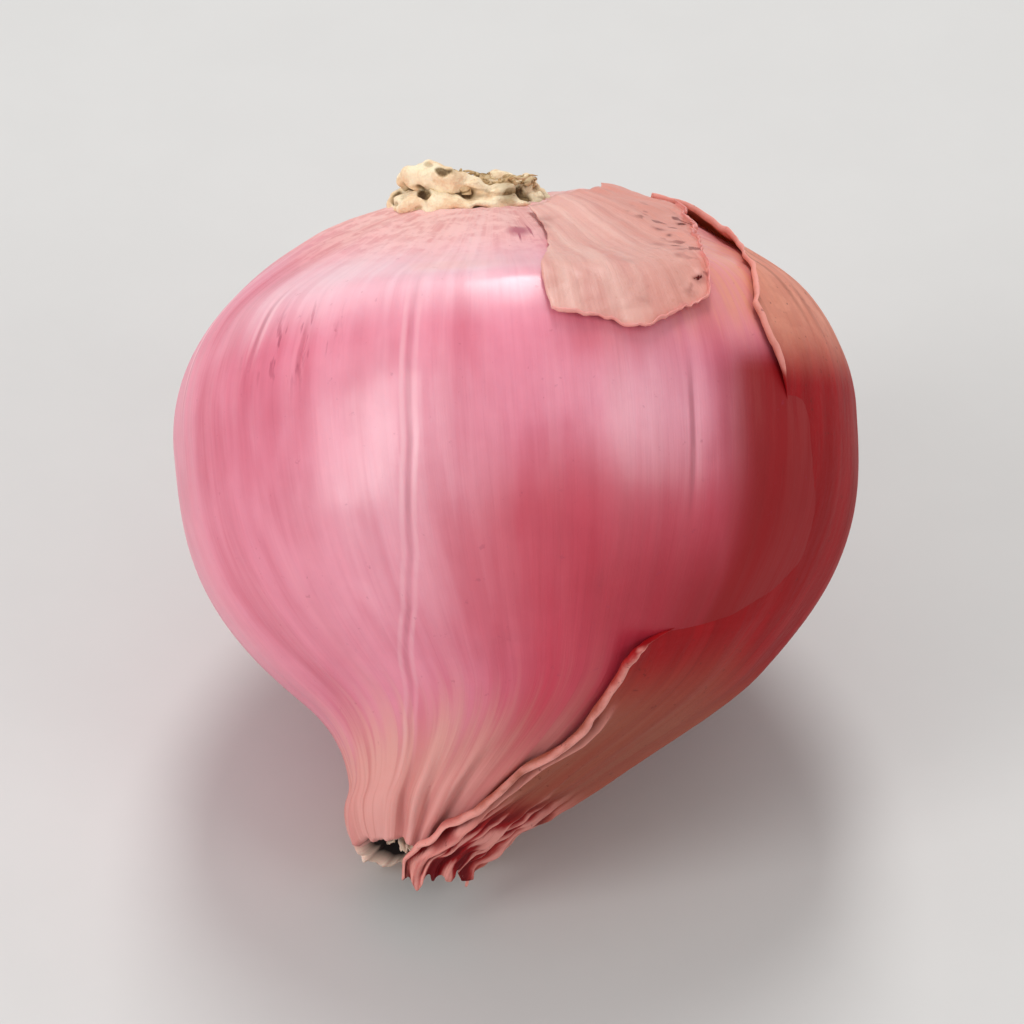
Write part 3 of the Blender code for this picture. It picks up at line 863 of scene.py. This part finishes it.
def makeJacket():
    s = jacket
    along, around = tableGrid(s["edges"], s["rows"], s["columns"], s["closeness"])
    front, _ = skinPoints(along[:, 0], around[:, 0])
    share = np.linspace(0, 1, s["columns"])[None]
    tear = (s["ragged"] * pointNoise(front, 1.6 * mm, 11)
            + s["fineRagged"] * pointNoise(front, 0.5 * mm, 12))
    reach = np.maximum(profileRadius(along[:, :1]), 0.15) * bulbRadius
    tear = tear * (1 - 0.6 * ramp(s["smoothFrom"], s["smoothTo"], along[:, 0]))
    around = around + tear[:, None] / reach * (1 - share) ** 2
    tips = pointNoise(skinPoints(along[-1], around[-1])[0], 0.55 * mm, 16)
    along = along + s["endRagged"] * tips[None] * ramp(1.12, 1.28, along)
    points, _ = skinPoints(along, around)
    step = np.linalg.norm(np.diff(points, axis=1), axis=2)
    fromFront = np.cumsum(np.concatenate([np.zeros((s["rows"], 1)), step], axis=1), axis=1)
    top = 1 - ramp(s["flushFrom"] - 0.10, s["flushFrom"] + 0.06, along[:, :1])
    low = ramp(s["flushTo"], s["flushTo"] + 0.05, along[:, :1])
    loose = np.maximum(top, low)
    lift = jacketLift(along, around, front, fromFront, loose)
    foldShare = ramp(s["foldFrom"], s["foldFrom"] + 0.08, along)
    fold = foldShare * hump(fromFront - s["foldPlace"], s["foldWidth"])
    # the groove beside the fold gets painted shade
    foldGapShade = foldShare * hump(fromFront - 0.52 * s["foldPlace"], 0.5 * s["foldWidth"])
    # wrinkles where the skin is twisted into the neck's end
    folded = np.stack([fromFront, 0.30 * along * bulbRadius, 0 * along], -1)
    creased = ramp(s["wrinkleFrom"], s["wrinkleTo"], along)
    folds = pointNoise(folded, s["wrinkleSize"], 19)
    fromRim = 0.35 + 0.65 * ramp(0, 0.7 * mm, fromFront)
    lift += s["fold"] * fold + s["wrinkle"] * creased * fromRim * (
        folds + 0.5 * pointNoise(points, 0.9 * mm, 20))
    points, up = skinPoints(along, around, lift)
    wander = pointNoise(front, 1.3 * mm, 15)
    weights = np.stack([top[:, 0], 1 - top[:, 0] - low[:, 0], low[:, 0]])
    radius = (np.array(s["rimRadius"]) @ weights) * (1 + 0.5 * wander)
    turn = np.radians((np.array(s["rimTurn"]) @ weights) * (1 + 0.4 * np.roll(wander, 7)))
    points = curlFirstSide(points, up, smoothRows(radius, 3), smoothRows(turn, 3), s["rimSteps"])
    # painted highlight on the crests of the wrinkles and of the fold, painted shade in the troughs
    # and in the groove beside the fold
    ridgeHighlight = creased * ramp(0.0, 0.22, folds)
    gaps = np.maximum(creased * ramp(-0.02, -0.24, folds), foldGapShade)
    pink = np.maximum(0.85 * ridgeHighlight, 0.7 * fold)
    along, around, loose, pink, gaps = (
        withRim(np.broadcast_to(part, fromFront.shape), s["rimSteps"])
        for part in (along, around, loose, pink, gaps))
    # the paler edge, partly a painted highlight on the raised rim, is kept off where the jacket
    # lies flush
    distance = edgeDistance(points, ("first", "last")) + (1 - loose) * 0.8 * mm
    wander = fieldNoise(along, around, 3.0, 2.0, 57)
    tan = np.maximum(ramp(*s["tan"], along + 0.06 * wander),
                     0.6 * hump(np.degrees(around) - 90, 14) * ramp(0.80, 0.95, along))
    brown = (ramp(*s["brown"], along + 0.08 * wander)
             * (1 - ramp(*s["brownEnd"], along)) * (1 - 0.9 * tan))
    streaks = ramp(0.12, 0.34, fieldNoise(along, around, 16.0, 4.0, 58))
    brown = np.maximum(brown, 0.55 * streaks * ramp(*s["streaks"], along))
    piece = newPiece("outerSkin", points, gridFaces(*points.shape[:2]),
                     sheetFields(along, around, distance, tan, brown, pink, gaps))
    thicken(piece, s["thickness"])
    return finishPiece(piece, makePaperMaterial("jacketSkin", jacketLook), "papery_skin",
                       "outer_skin")


makeJacket()

# The flap on the upper right shoulder
flap = {
    # the torn boundary, from its lower left corner round to the right of the root end
    "boundary": ((-0.212, 3.5), (-0.193, 7), (-0.178, 12), (-0.156, 18.5), (-0.172, 23),
                 (-0.215, 28), (-0.238, 32.5), (-0.30, 35), (-0.42, 39), (-0.52, 48), (-0.58, 62),
                 (-0.62, 80)),
    "rootAlong": -0.685, "rootFrom": 14.0, "rootTo": 92.0,
    "bow": -3.0,  # how far the left edge bows out, in degrees
    "rows": 120, "columns": 150, "rimSteps": 8, "thickness": 0.06 * mm,
    "gap": 0.12 * mm, "wave": 0.16 * mm, "grain": 0.05 * mm,
    "ragged": 0.20 * mm, "fineRagged": 0.16 * mm, "leftRagged": 0.12 * mm,
    "edgeRise": 0.20 * mm, "riseWidth": 0.8 * mm, "leftRise": 0.10 * mm,
    "leftRiseWidth": 0.5 * mm, "rimRadius": 0.13 * mm, "rimTurn": 170.0,
    "rootRise": 0.45 * mm, "rootRiseWidth": 1.6 * mm,  # over the rim of the root end
    # along, around, radius
    "holes": ((-0.570, 44, 0.20 * mm), (-0.542, 43, 0.16 * mm), (-0.48, 38, 0.22 * mm),
              (-0.47, 31.5, 0.12 * mm), (-0.58, 58, 0.24 * mm), (-0.30, 33, 0.22 * mm)),
    "stains": ((-0.384, 21, 0.30 * mm), (-0.232, 20.5, 0.26 * mm), (-0.255, 30, 0.28 * mm),
               (-0.50, 35, 0.35 * mm), (-0.44, 36, 0.25 * mm), (-0.40, 33, 0.22 * mm),
               (-0.60, 9, 0.30 * mm), (-0.63, 11, 0.40 * mm), (-0.65, 14, 0.40 * mm)),
    "markRagged": 0.18 * mm, "markLift": 0.4 * mm,
    # where it turns brown on its right, around, and how that line slants
    "rightTone": (14, 40), "rightSlant": 40, "rightFoot": -0.3,
}
flapLook = {
    "dark": paint(214, 146, 136), "light": paint(232, 178, 166), "first": paint(218, 142, 128),
    # edge: partly the paler dried edge, partly a painted highlight on the curled rim
    "second": paint(112, 30, 26), "edge": paint(240, 150, 146), "edgeWidth": 0.34 * mm,
    "edgeShare": 0.7, "speck": paint(196, 124, 104), "speckShare": 0.3, "roughness": 0.46,
    "coat": 0.18, "gloss": 0.35, "gap": paint(112, 30, 26), "fibreLift": (1.04, 1.06, 1.06, 1.0),
    "fibreDrop": (0.90, 0.80, 0.76, 1.0),
}


def flapLift(along, around, points, rim):  # metres that the flap stands over the plain form
    s = flap
    fromRim, fromLeft = edgeDistance(points, ("end",)), edgeDistance(points, ("first",))
    uneven = np.clip(0.6 + 0.8 * pointNoise(rim, 1.7 * mm, 24), 0.15, 1.3)[None]
    overRoot = hump((along - bulbForm["rootFlat"]) * bulbRadius, s["rootRiseWidth"])
    return (skinHeight(along, around) + s["gap"]
            + s["wave"] * np.clip(pointNoise(points, 2.2 * mm, 25) + 0.3, 0, 1)
            + s["grain"] * pointNoise(points, 0.7 * mm, 26)
            + s["edgeRise"] * uneven * hump(fromRim, s["riseWidth"])
            + s["leftRise"] * hump(fromLeft, s["leftRiseWidth"])
            + s["rootRise"] * overRoot * ramp(0, 1.5 * mm, fromLeft))


def flapMarks(flat):  # which points lie in a hole, and how stained each point is
    s = flap
    inside, stained = np.zeros(len(flat), bool), np.zeros(len(flat))
    for marks, isHole in ((s["holes"], True), (s["stains"], False)):
        for spotAlong, spotTurn, size in marks:
            spot, _ = skinPoints(np.array(spotAlong), np.array(math.radians(spotTurn)),
                                 np.array(s["markLift"]))
            away = np.linalg.norm(flat - spot, axis=1) + s["markRagged"] * pointNoise(
                flat, 0.35 * mm, 28)
            inside |= isHole & (away < size)
            stained = np.maximum(stained, (1.0 if isHole else 0.5) * hump(away, 1.2 * size))
    return inside, stained


def makeFlap():
    s = flap
    down = np.linspace(0, 1, s["rows"])[:, None]
    across = np.linspace(0, 1, s["columns"])[None]
    edgeAlong, edgeTurn = np.array(s["boundary"], float).T
    spots, _ = skinPoints(edgeAlong, np.radians(edgeTurn))
    place = np.concatenate([[0], np.cumsum(np.linalg.norm(np.diff(spots, axis=0), axis=1))])
    where = np.linspace(0, place[-1], s["columns"])
    endAlong, endTurn = (np.interp(where, place, part)[None] for part in (edgeAlong, edgeTurn))
    rootTurn = s["rootFrom"] + (s["rootTo"] - s["rootFrom"]) * across
    bow = s["bow"] * np.sin(down * math.pi) * (1 - across) ** 2
    along = s["rootAlong"] + (endAlong - s["rootAlong"]) * down
    around = np.radians(rootTurn + (endTurn - rootTurn) * ramp(-0.2, 1.1, down) + bow)
    rim, _ = skinPoints(along[-1], around[-1])
    tear = (s["ragged"] * pointNoise(rim, 1.1 * mm, 21)
            + s["fineRagged"] * pointNoise(rim, 0.4 * mm, 22))
    along = along + (tear / bulbRadius)[None] * down ** 3
    left, _ = skinPoints(along[:, 0], around[:, 0])
    leftTear = s["leftRagged"] * pointNoise(left, 0.9 * mm, 23)[:, None]
    around = around + leftTear / (0.8 * bulbRadius) * (1 - across) ** 4
    points, _ = skinPoints(along, around)
    points, up = skinPoints(along, around, flapLift(along, around, points, rim))
    wander = pointNoise(rim, 0.8 * mm, 27)
    radius = smoothRows(s["rimRadius"] * (1 + 0.7 * wander), 2)
    turn = smoothRows(np.radians(s["rimTurn"] * (1 + 0.6 * np.roll(wander, 5))), 2)

    def turned(grid):  # the last row becomes the first column
        return np.moveaxis(grid, 0, 1)[:, ::-1]

    def turnedBack(grid):
        return np.moveaxis(grid[:, ::-1], 0, 1)

    points = turnedBack(curlFirstSide(turned(points), turned(up), radius, turn, s["rimSteps"]))
    along, around = (turnedBack(withRim(turned(part), s["rimSteps"])) for part in (along, around))
    right = ramp(*s["rightTone"], np.degrees(around) + s["rightSlant"] * (along - s["rightFoot"]))
    inside, stained = flapMarks(points.reshape(-1, 3))
    spots = ramp(0.28, 0.42, pointNoise(points, 0.55 * mm, 29))
    spots = spots * ramp(0.55, 0.95, right) * ramp(-0.66, -0.60, along)
    stained = np.maximum(stained.reshape(along.shape), 0.85 * spots)
    faces = np.array(gridFaces(*points.shape[:2]))
    faces = faces[~inside[faces].all(1)].tolist()
    piece = newPiece("shoulderFlap", points, faces, sheetFields(
        along, around, edgeDistance(points, ("end",)), right, stained))
    thicken(piece, s["thickness"], 1)
    return finishPiece(piece, makePaperMaterial("flapSkin", flapLook), "papery_skin",
                       "shoulder_flap")


makeFlap()

# The root end
rootEnd = {
    "shift": -0.06,  # the plate's place left of the axis, in radii
    "columns": 280, "rows": 110,
    # out from the middle and up off the bulb's flat end, in mm: on the left, where the dried
    # collar is rolled up high, and on the rest
    "high": ((0.15, 1.15), (0.9, 1.15), (1.5, 1.05), (1.85, 0.85), (2.1, 1.1), (2.45, 1.62),
             (2.9, 1.80), (3.3, 1.55), (3.45, 1.2), (3.3, 0.90), (3.12, 0.72), (3.4, 0.60),
             (3.8, 0.48), (4.0, 0.15), (3.85, -0.35)),
    "flat": ((0.15, 1.05), (0.9, 1.05), (1.5, 0.95), (1.85, 0.60), (2.1, 0.62), (2.45, 0.90),
             (2.85, 1.05), (3.15, 0.95), (3.3, 0.75), (3.2, 0.58), (3.1, 0.48), (3.3, 0.38),
             (3.55, 0.25), (3.65, 0.05), (3.5, -0.35)),
    # turns and heights of the collar, from 0, flat, to 1, high
    "collar": ((-180, 0.25), (-140, 0.55), (-105, 1.10), (-65, 1.75), (-30, 1.65), (-10, 0.95),
               (6, 0.15), (28, -0.20), (50, 0.25), (75, 0.10), (100, -0.1), (130, 0.0),
               (180, 0.25)),
    "leftTurn": -55.0, "leftWidth": 48.0,  # the side of the rolled-up part
    "lump": 0.42 * mm, "knob": 0.10 * mm, "wrinkle": 0.14 * mm, "pit": 0.40 * mm,
    "waver": 0.05,  # how far the grooves wander up and down the collar
    "groove": (0.30, 0.035), "lowGroove": (0.735, 0.030),  # their place down it and width
    "count": 14, "ring": 3.1 * mm, "base": 0.70 * mm, "goldenTurn": 137.5,
    # each root: one main stub and some thinner strands beside it, lengths in mm
    "strands": 3, "mainRadius": 0.25 * mm, "strandRadius": 0.10 * mm, "mainLength": 1.05,
    "strandLength": (0.8, 1.5), "strandOut": (-0.5, 0.4), "strandTurn": (-0.5, 0.5),
    "splay": (0.2, 0.9), "twist": (-0.6, 0.9), "curl": (0.3, 0.75), "tone": (0, 0.35),
    "rightShorter": 0.45, "bends": 0.22 * mm, "steps": 26, "mainSides": 12, "strandSides": 8,
}
corkLook = {
    "cream": paint(255, 236, 202), "tan": paint(238, 202, 162), "olive": paint(132, 104, 58),
    # dark: painted shade deep in the crevices
    "dark": paint(70, 44, 22), "roughness": 0.72,
}
rootTilt = math.radians(bulbForm["rootTilt"])
rootOut = math.sin(rootTilt) * axisBack - math.cos(rootTilt) * axisNeck
rootTop = math.cos(rootTilt) * axisBack + math.sin(rootTilt) * axisNeck
rootMiddle = bulbMiddle + bulbRadius * (rootEnd["shift"] * axisRight
                                        + bulbForm["rootFlat"] * axisNeck)


def rootPoints(out, turn, rise):
    return (rootMiddle + (out * np.sin(turn))[..., None] * axisRight
            + (out * np.cos(turn))[..., None] * rootTop + rise[..., None] * rootOut)


def makeCorkMaterial(name, look):
    material, tree, shader = newMaterial(name, **{
        "Subsurface Weight": 0.08, "Subsurface Radius": (1.0, 0.7, 0.4),
        "Subsurface Scale": 0.3 * mm, "Specular IOR Level": 0.3})
    times, plus, spread, specks = toolsFor(tree)
    creviceShade, tone, _ = splitField(tree, readField(tree, "cork"))
    blotch, grain = specks(1.1, 4.0, 0.40, 0.60), specks(0.22, 6.0, 0.35, 0.65)
    # olive to dark in the grooves, pits and creases: painted shade
    deepest = remap(tree, plus(creviceShade, times(grain, 0.2)), 0.65, 1.15)
    colour = layered(tree, mixColour(tree, blotch, look["tan"], look["cream"]), look,
                     (times(grain, 0.4), "cream"), (tone, "olive"),
                     (remap(tree, creviceShade, 0.15, 0.8, 0.0, 0.85), "olive"),
                     (times(deepest, 0.85), "dark"))
    roughness = spread(grain, look["roughness"], look["roughness"] + 0.15)
    feed(tree, shader, colour, roughness, grain, 0.05 * mm, 0.7)
    return material


corkMaterial = makeCorkMaterial("rootCork", corkLook)
fibreLook = {**corkLook, "cream": paint(232, 204, 162), "tan": paint(206, 166, 118)}
fibreMaterial = makeCorkMaterial("rootFibre", fibreLook)


def collarShapes(high):  # out and up for each row and column, from the two outlines
    s = rootEnd
    where = np.linspace(0, 1, s["rows"])
    shapes = []
    for name in ("high", "flat"):
        corners = np.array(s[name])
        step = np.linalg.norm(np.diff(corners, axis=0), axis=1)
        place = np.concatenate([[0], np.cumsum(step)]) / step.sum()
        outline = [np.interp(where, place, column) for column in corners.T]
        shapes.append(smoothRows(np.stack(outline, 1), 14)[:, None])
    shape = shapes[1] + (shapes[0] - shapes[1]) * high[..., None]
    return shape[..., 0] * mm, shape[..., 1] * mm


def makeRootPlate():
    s = rootEnd
    turn = (np.arange(s["columns"]) / s["columns"] * 2 * math.pi - math.pi)[None]
    high = np.interp(np.degrees(turn), *np.array(s["collar"]).T) + 0.12 * ringNoise(turn, 3.5, 31)
    out, rise = collarShapes(high)
    rolled = hump(np.degrees(turn) - s["leftTurn"], s["leftWidth"])
    farOut = out / (4 * mm)
    out = out * (1 + 0.05 * ramp(0.3, 0.8, farOut) * ringNoise(turn, 2.0, 37)
                 + 0.10 * ramp(0.7, 0.95, farOut) * rolled)
    turn = turn + 0 * out
    points = rootPoints(out, turn, rise)
    down = np.linspace(0, 1, s["rows"])[:, None] + 0 * turn
    wrinkled = np.stack([12 * down * mm, 1.1 * out * turn, 0 * out], -1)
    outer = ramp(1.4 * mm, 2.2 * mm, out)
    lump = pointNoise(points, 1.1 * mm, 35)
    crease = pointNoise(wrinkled, 0.9 * mm, 32)
    pit = ramp(0.22, 0.5, pointNoise(points, 1.0 * mm, 39)) * outer
    height = (s["lump"] * lump * outer + s["knob"] * pointNoise(points, 0.42 * mm, 36)
              + s["wrinkle"] * crease * outer - s["pit"] * pit * (1 - 0.6 * np.clip(high, 0, 1)))
    points = points + height[..., None] * gridNormals(points, wrap=True)
    wavering = down + s["waver"] * ringNoise(turn, 2.4, 38)
    (place, width), (lowPlace, lowWidth) = s["groove"], s["lowGroove"]
    # the grooves between the collar's rolls, the pits and the creases are darkened: painted shade
    groove = np.maximum(hump(wavering - place, width),
                        hump(wavering - lowPlace, lowWidth) * (0.25 + 0.75 * rolled))
    creviceShade = np.clip(groove + 0.8 * pit + 0.5 * ramp(0.1, 0.45, -crease) * outer, 0, 1)
    faces = gridFaces(*points.shape[:2], wrap=True)
    allPoints = np.concatenate([points.reshape(-1, 3), points[:1].mean(1)])
    faces += fanFaces(np.arange(s["columns"]), len(allPoints) - 1, True)
    aged = 0.55 * hump(np.degrees(turn) - 35, 30) * ramp(-0.1, 0.4, lump)
    field = vectorField(creviceShade, 0.3 * hump(out - 0.3 * mm, 1.3 * mm) + aged, 0.0)
    field = np.concatenate([field.reshape(-1, 3), field[0, :1]])
    piece = newPiece("rootPlate", allPoints, faces, {"cork": field})
    return finishPiece(piece, corkMaterial, "root_cork", "root_plate")


def sweepTube(path, radii, sides, seed):  # a knobbly tube, closed at both ends
    tangent = unitLength(np.gradient(path, axis=0))
    side = unitLength(np.cross(tangent, (0.31, 0.22, 0.93)))
    other = np.cross(tangent, side)
    angle = (np.arange(sides) / sides * 2 * math.pi)[None]
    ring = (side[:, None] * np.cos(angle)[..., None] + other[:, None] * np.sin(angle)[..., None])
    points = path[:, None] + ring * radii[:, None, None]
    rough = 1 + 0.35 * pointNoise(points, 0.35 * mm, seed)
    points = path[:, None] + ring * (radii[:, None] * rough)[..., None]
    faces = gridFaces(len(path), sides, wrap=True)
    ends = np.arange(sides)
    count = len(path) * sides
    faces += fanFaces(ends, count, True)
    faces += fanFaces(ends + count - sides, count + 1, False)
    return np.concatenate([points.reshape(-1, 3), path[:1], path[-1:]]), faces


def rootPath(reach, turn, length, splay, twist, curl, steps):
    share = np.linspace(0, 1, steps)
    out = reach + length * splay * share ** 1.5
    bearing = turn + twist * share ** 2
    rise = rootEnd["base"] + length * (share - curl * share ** 3)
    return rootPoints(out, bearing, rise)


def makeRoots():
    s = rootEnd
    chance = np.random.default_rng(7)
    for index in range(s["count"]):
        turn = index * math.radians(s["goldenTurn"])
        reach = s["ring"] * math.sqrt((index + 0.5) / s["count"])
        shorter = 1 - s["rightShorter"] * ramp(-0.2, 0.6, math.sin(turn))
        points, faces, fields = [], [], []
        for strand in range(1 + s["strands"]):
            main = strand == 0
            kind = "main" if main else "strand"
            length = (s["mainLength"] if main else chance.uniform(*s["strandLength"])) * mm
            out = 0 if main else chance.uniform(*s["strandOut"]) * mm
            aside = 0 if main else chance.uniform(*s["strandTurn"])
            bends = [chance.uniform(*s[name]) for name in ("splay", "twist", "curl")]
            path = rootPath(reach + out, turn + aside, length * shorter, *bends, s["steps"])
            wander = np.stack([pointNoise(path, 0.7 * mm, 40 + index + axis)
                               for axis in range(3)], -1)
            share = np.linspace(0, 1, len(path))
            path = path + s["bends"] * wander * share[:, None]
            radii = s[kind + "Radius"] * (1.15 - 0.45 * share) * np.sqrt(
                np.clip(1.02 - share ** 8, 0.05, 1))
            tubePoints, tubeFaces = sweepTube(path, radii, s[kind + "Sides"], 60 + index)
            start = sum(len(part) for part in points)
            faces += [tuple(corner + start for corner in face) for face in tubeFaces]
            points.append(tubePoints)
            tone = chance.uniform(*s["tone"])
            creased = hump(pointNoise(tubePoints, 0.5 * mm, 80 + index), 0.12)
            fields.append(vectorField(0.8 * creased, tone + 0 * creased, 0 * creased))
        name = "root_%02d" % (index + 1)
        piece = newPiece(name + "_tuft", np.concatenate(points), faces,
                         {"cork": np.concatenate(fields)})
        finishPiece(piece, fibreMaterial, "root_fibre", name)


makeRootPlate()
makeRoots()

# Dried leaf ends in the neck
dryLeaves = {
    "turns": (-81.0, -27.0, 27.0, 81.0), "lengths": (-1.0, -0.5, 0.7, 0.9), "ring": 1.6,
    "halfWidths": (40.0, 30.0, 30.0, 34.0), "inside": 2.6, "rows": 40, "columns": 40,
    "splay": 0.25, "crumple": 0.26 * mm, "thickness": 0.09 * mm,
}
leafLook = {
    "dark": paint(96, 42, 34), "light": paint(160, 92, 72), "first": paint(236, 200, 170),
    "second": paint(170, 66, 64), "edge": paint(240, 206, 184), "edgeWidth": 0.35 * mm,
    "edgeShare": 0.8, "speck": paint(50, 24, 18), "speckShare": 0.6, "roughness": 0.6,
    "coat": 0.0, "gloss": 0.2, "gap": paint(50, 24, 18), "fibreLift": (1.2, 1.2, 1.2, 1.0),
    "fibreDrop": (0.55, 0.45, 0.42, 1.0),
}


def makeDryLeaves():
    s = dryLeaves
    material = makePaperMaterial("dryLeaf", leafLook)
    nothing = np.array(0.0)
    mouth = bulbMiddle + bulbRadius * bend(nothing, nothing, nothing + bulbForm["neckEnd"])
    for index, turn in enumerate(s["turns"]):
        across = np.linspace(-1, 1, s["columns"])[None]
        up = np.linspace(0, 1, s["rows"])[:, None]
        ragged = 0.5 * ringNoise(across * 1.5, 3.5, 61 + index)
        tip = s["lengths"][index] + 0.6 * (ragged - 0.35 * across ** 2)
        rise = (-s["inside"] + (tip + s["inside"]) * up) * mm
        narrow = 1 - 0.35 * up ** 2
        bearing = math.radians(turn) + np.radians(s["halfWidths"][index]) * across * narrow
        ring = (s["ring"] + s["splay"] * up ** 2) * mm + 0 * across
        points = (mouth + (ring * np.sin(bearing))[..., None] * axisRight
                  + (ring * np.cos(bearing))[..., None] * axisBack + rise[..., None] * axisNeck)
        points = points + (s["crumple"] * pointNoise(points, 0.6 * mm, 65 + index)
                           + 0.5 * s["crumple"] * pointNoise(points, 0.28 * mm, 70 + index)
                           )[..., None] * gridNormals(points)
        distance = edgeDistance(points, ("end", "first", "last"))
        reddish = 1.0 if index > 1 else 0.0
        fields = sheetFields(rise / bulbRadius + 1.25, bearing + 0 * rise, distance,
                             (1 - reddish) * up + 0 * across, 0.7 * reddish + 0 * rise)
        piece = newPiece("dryLeaf_%d" % (index + 1), points, gridFaces(*points.shape[:2]), fields)
        thicken(piece, s["thickness"], 0)
        finishPiece(piece, material, "dry_leaf", "dry_leaf_%d" % (index + 1))


makeDryLeaves()

# Floor, light and camera
studio = {
    "azimuth": -5.5, "elevation": 40.0, "lens": 300.0, "sensor": 36.0,
    "radiusInFrame": 0.332,  # the bulb's radius as a share of the picture's width
    "aimBelow": 0.235,  # how far under the widest part's middle the camera aims, in radii
    "floor": paint(202, 201, 199), "floorLight": paint(207, 206, 204),
    "floorSize": 1.4, "floorDrop": 0.02 * mm,
    "world": (1.0, 1.0, 1.0, 1.0), "worldStrength": 0.53,
    # turn from the camera, rise above its line, width, height in metres, brightness
    "lights": {"leftBox": (-50, 4, 0.20, 0.50, 3.6), "rightBox": (44, 4, 0.20, 0.30, 2.1),
               "topBox": (7, 86, 0.13, 0.32, 9.0)},
    "lightDistance": 0.5,
}


def makeStudio():
    s = studio
    azimuth, elevation = math.radians(s["azimuth"]), math.radians(s["elevation"])
    toCamera = np.array((math.sin(azimuth) * math.cos(elevation),
                         -math.cos(azimuth) * math.cos(elevation), math.sin(elevation)))
    right = unitLength(np.cross((0, 0, 1), toCamera))
    up = np.cross(toCamera, right)
    aim = bulbMiddle - s["aimBelow"] * bulbRadius * up

    lens = bpy.data.cameras.new("camera")
    lens.lens, lens.sensor_width = s["lens"], s["sensor"]
    camera = bpy.data.objects.new("camera", lens)
    bpy.context.scene.collection.objects.link(camera)
    distance = s["lens"] / s["sensor"] * bulbRadius / s["radiusInFrame"]
    camera.location = Vector(aim + distance * toCamera)
    camera.rotation_euler = Vector(-toCamera).to_track_quat("-Z", "Y").to_euler()
    bpy.context.scene.camera = camera

    for name, (turn, rise, width, height, brightness) in s["lights"].items():
        turn, rise = math.radians(turn), math.radians(rise)
        towards = (math.cos(rise) * (math.cos(turn) * toCamera + math.sin(turn) * right)
                   + math.sin(rise) * up)
        box = bpy.data.lights.new(name, "AREA")
        box.shape, box.size, box.size_y = "ELLIPSE", width, height
        box.energy = brightness * math.pi * width * height
        light = bpy.data.objects.new(name, box)
        bpy.context.scene.collection.objects.link(light)
        light.location = Vector(bulbMiddle + s["lightDistance"] * towards)
        light.rotation_euler = Vector(-towards).to_track_quat("-Z", "Y").to_euler()

    half = s["floorSize"] / 2
    corners = np.array(((-half, -half), (half, -half), (half, half), (-half, half)))
    corners = np.concatenate([corners, np.full((4, 1), -s["floorDrop"])], 1)
    floor = newPiece("floor", corners, [(0, 1, 2, 3)], {})
    material, tree, shader = newMaterial("floorPaper", Roughness=0.55)
    mottle = speckMask(tree, 6, 1.0, 0.3, 0.7)
    tone = mixColour(tree, calc(tree, "MULTIPLY", mottle, 0.3), s["floor"], s["floorLight"])
    tree.links.new(tone, shader.inputs["Base Color"])
    floor.data.materials.append(material)

    world = bpy.data.worlds.new("world")
    world.use_nodes = True
    background = world.node_tree.nodes["Background"]
    background.inputs["Color"].default_value = s["world"]
    background.inputs["Strength"].default_value = s["worldStrength"]
    bpy.context.scene.world = world
    bpy.context.scene.view_settings.view_transform = "Standard"


makeStudio()
print("studio made")
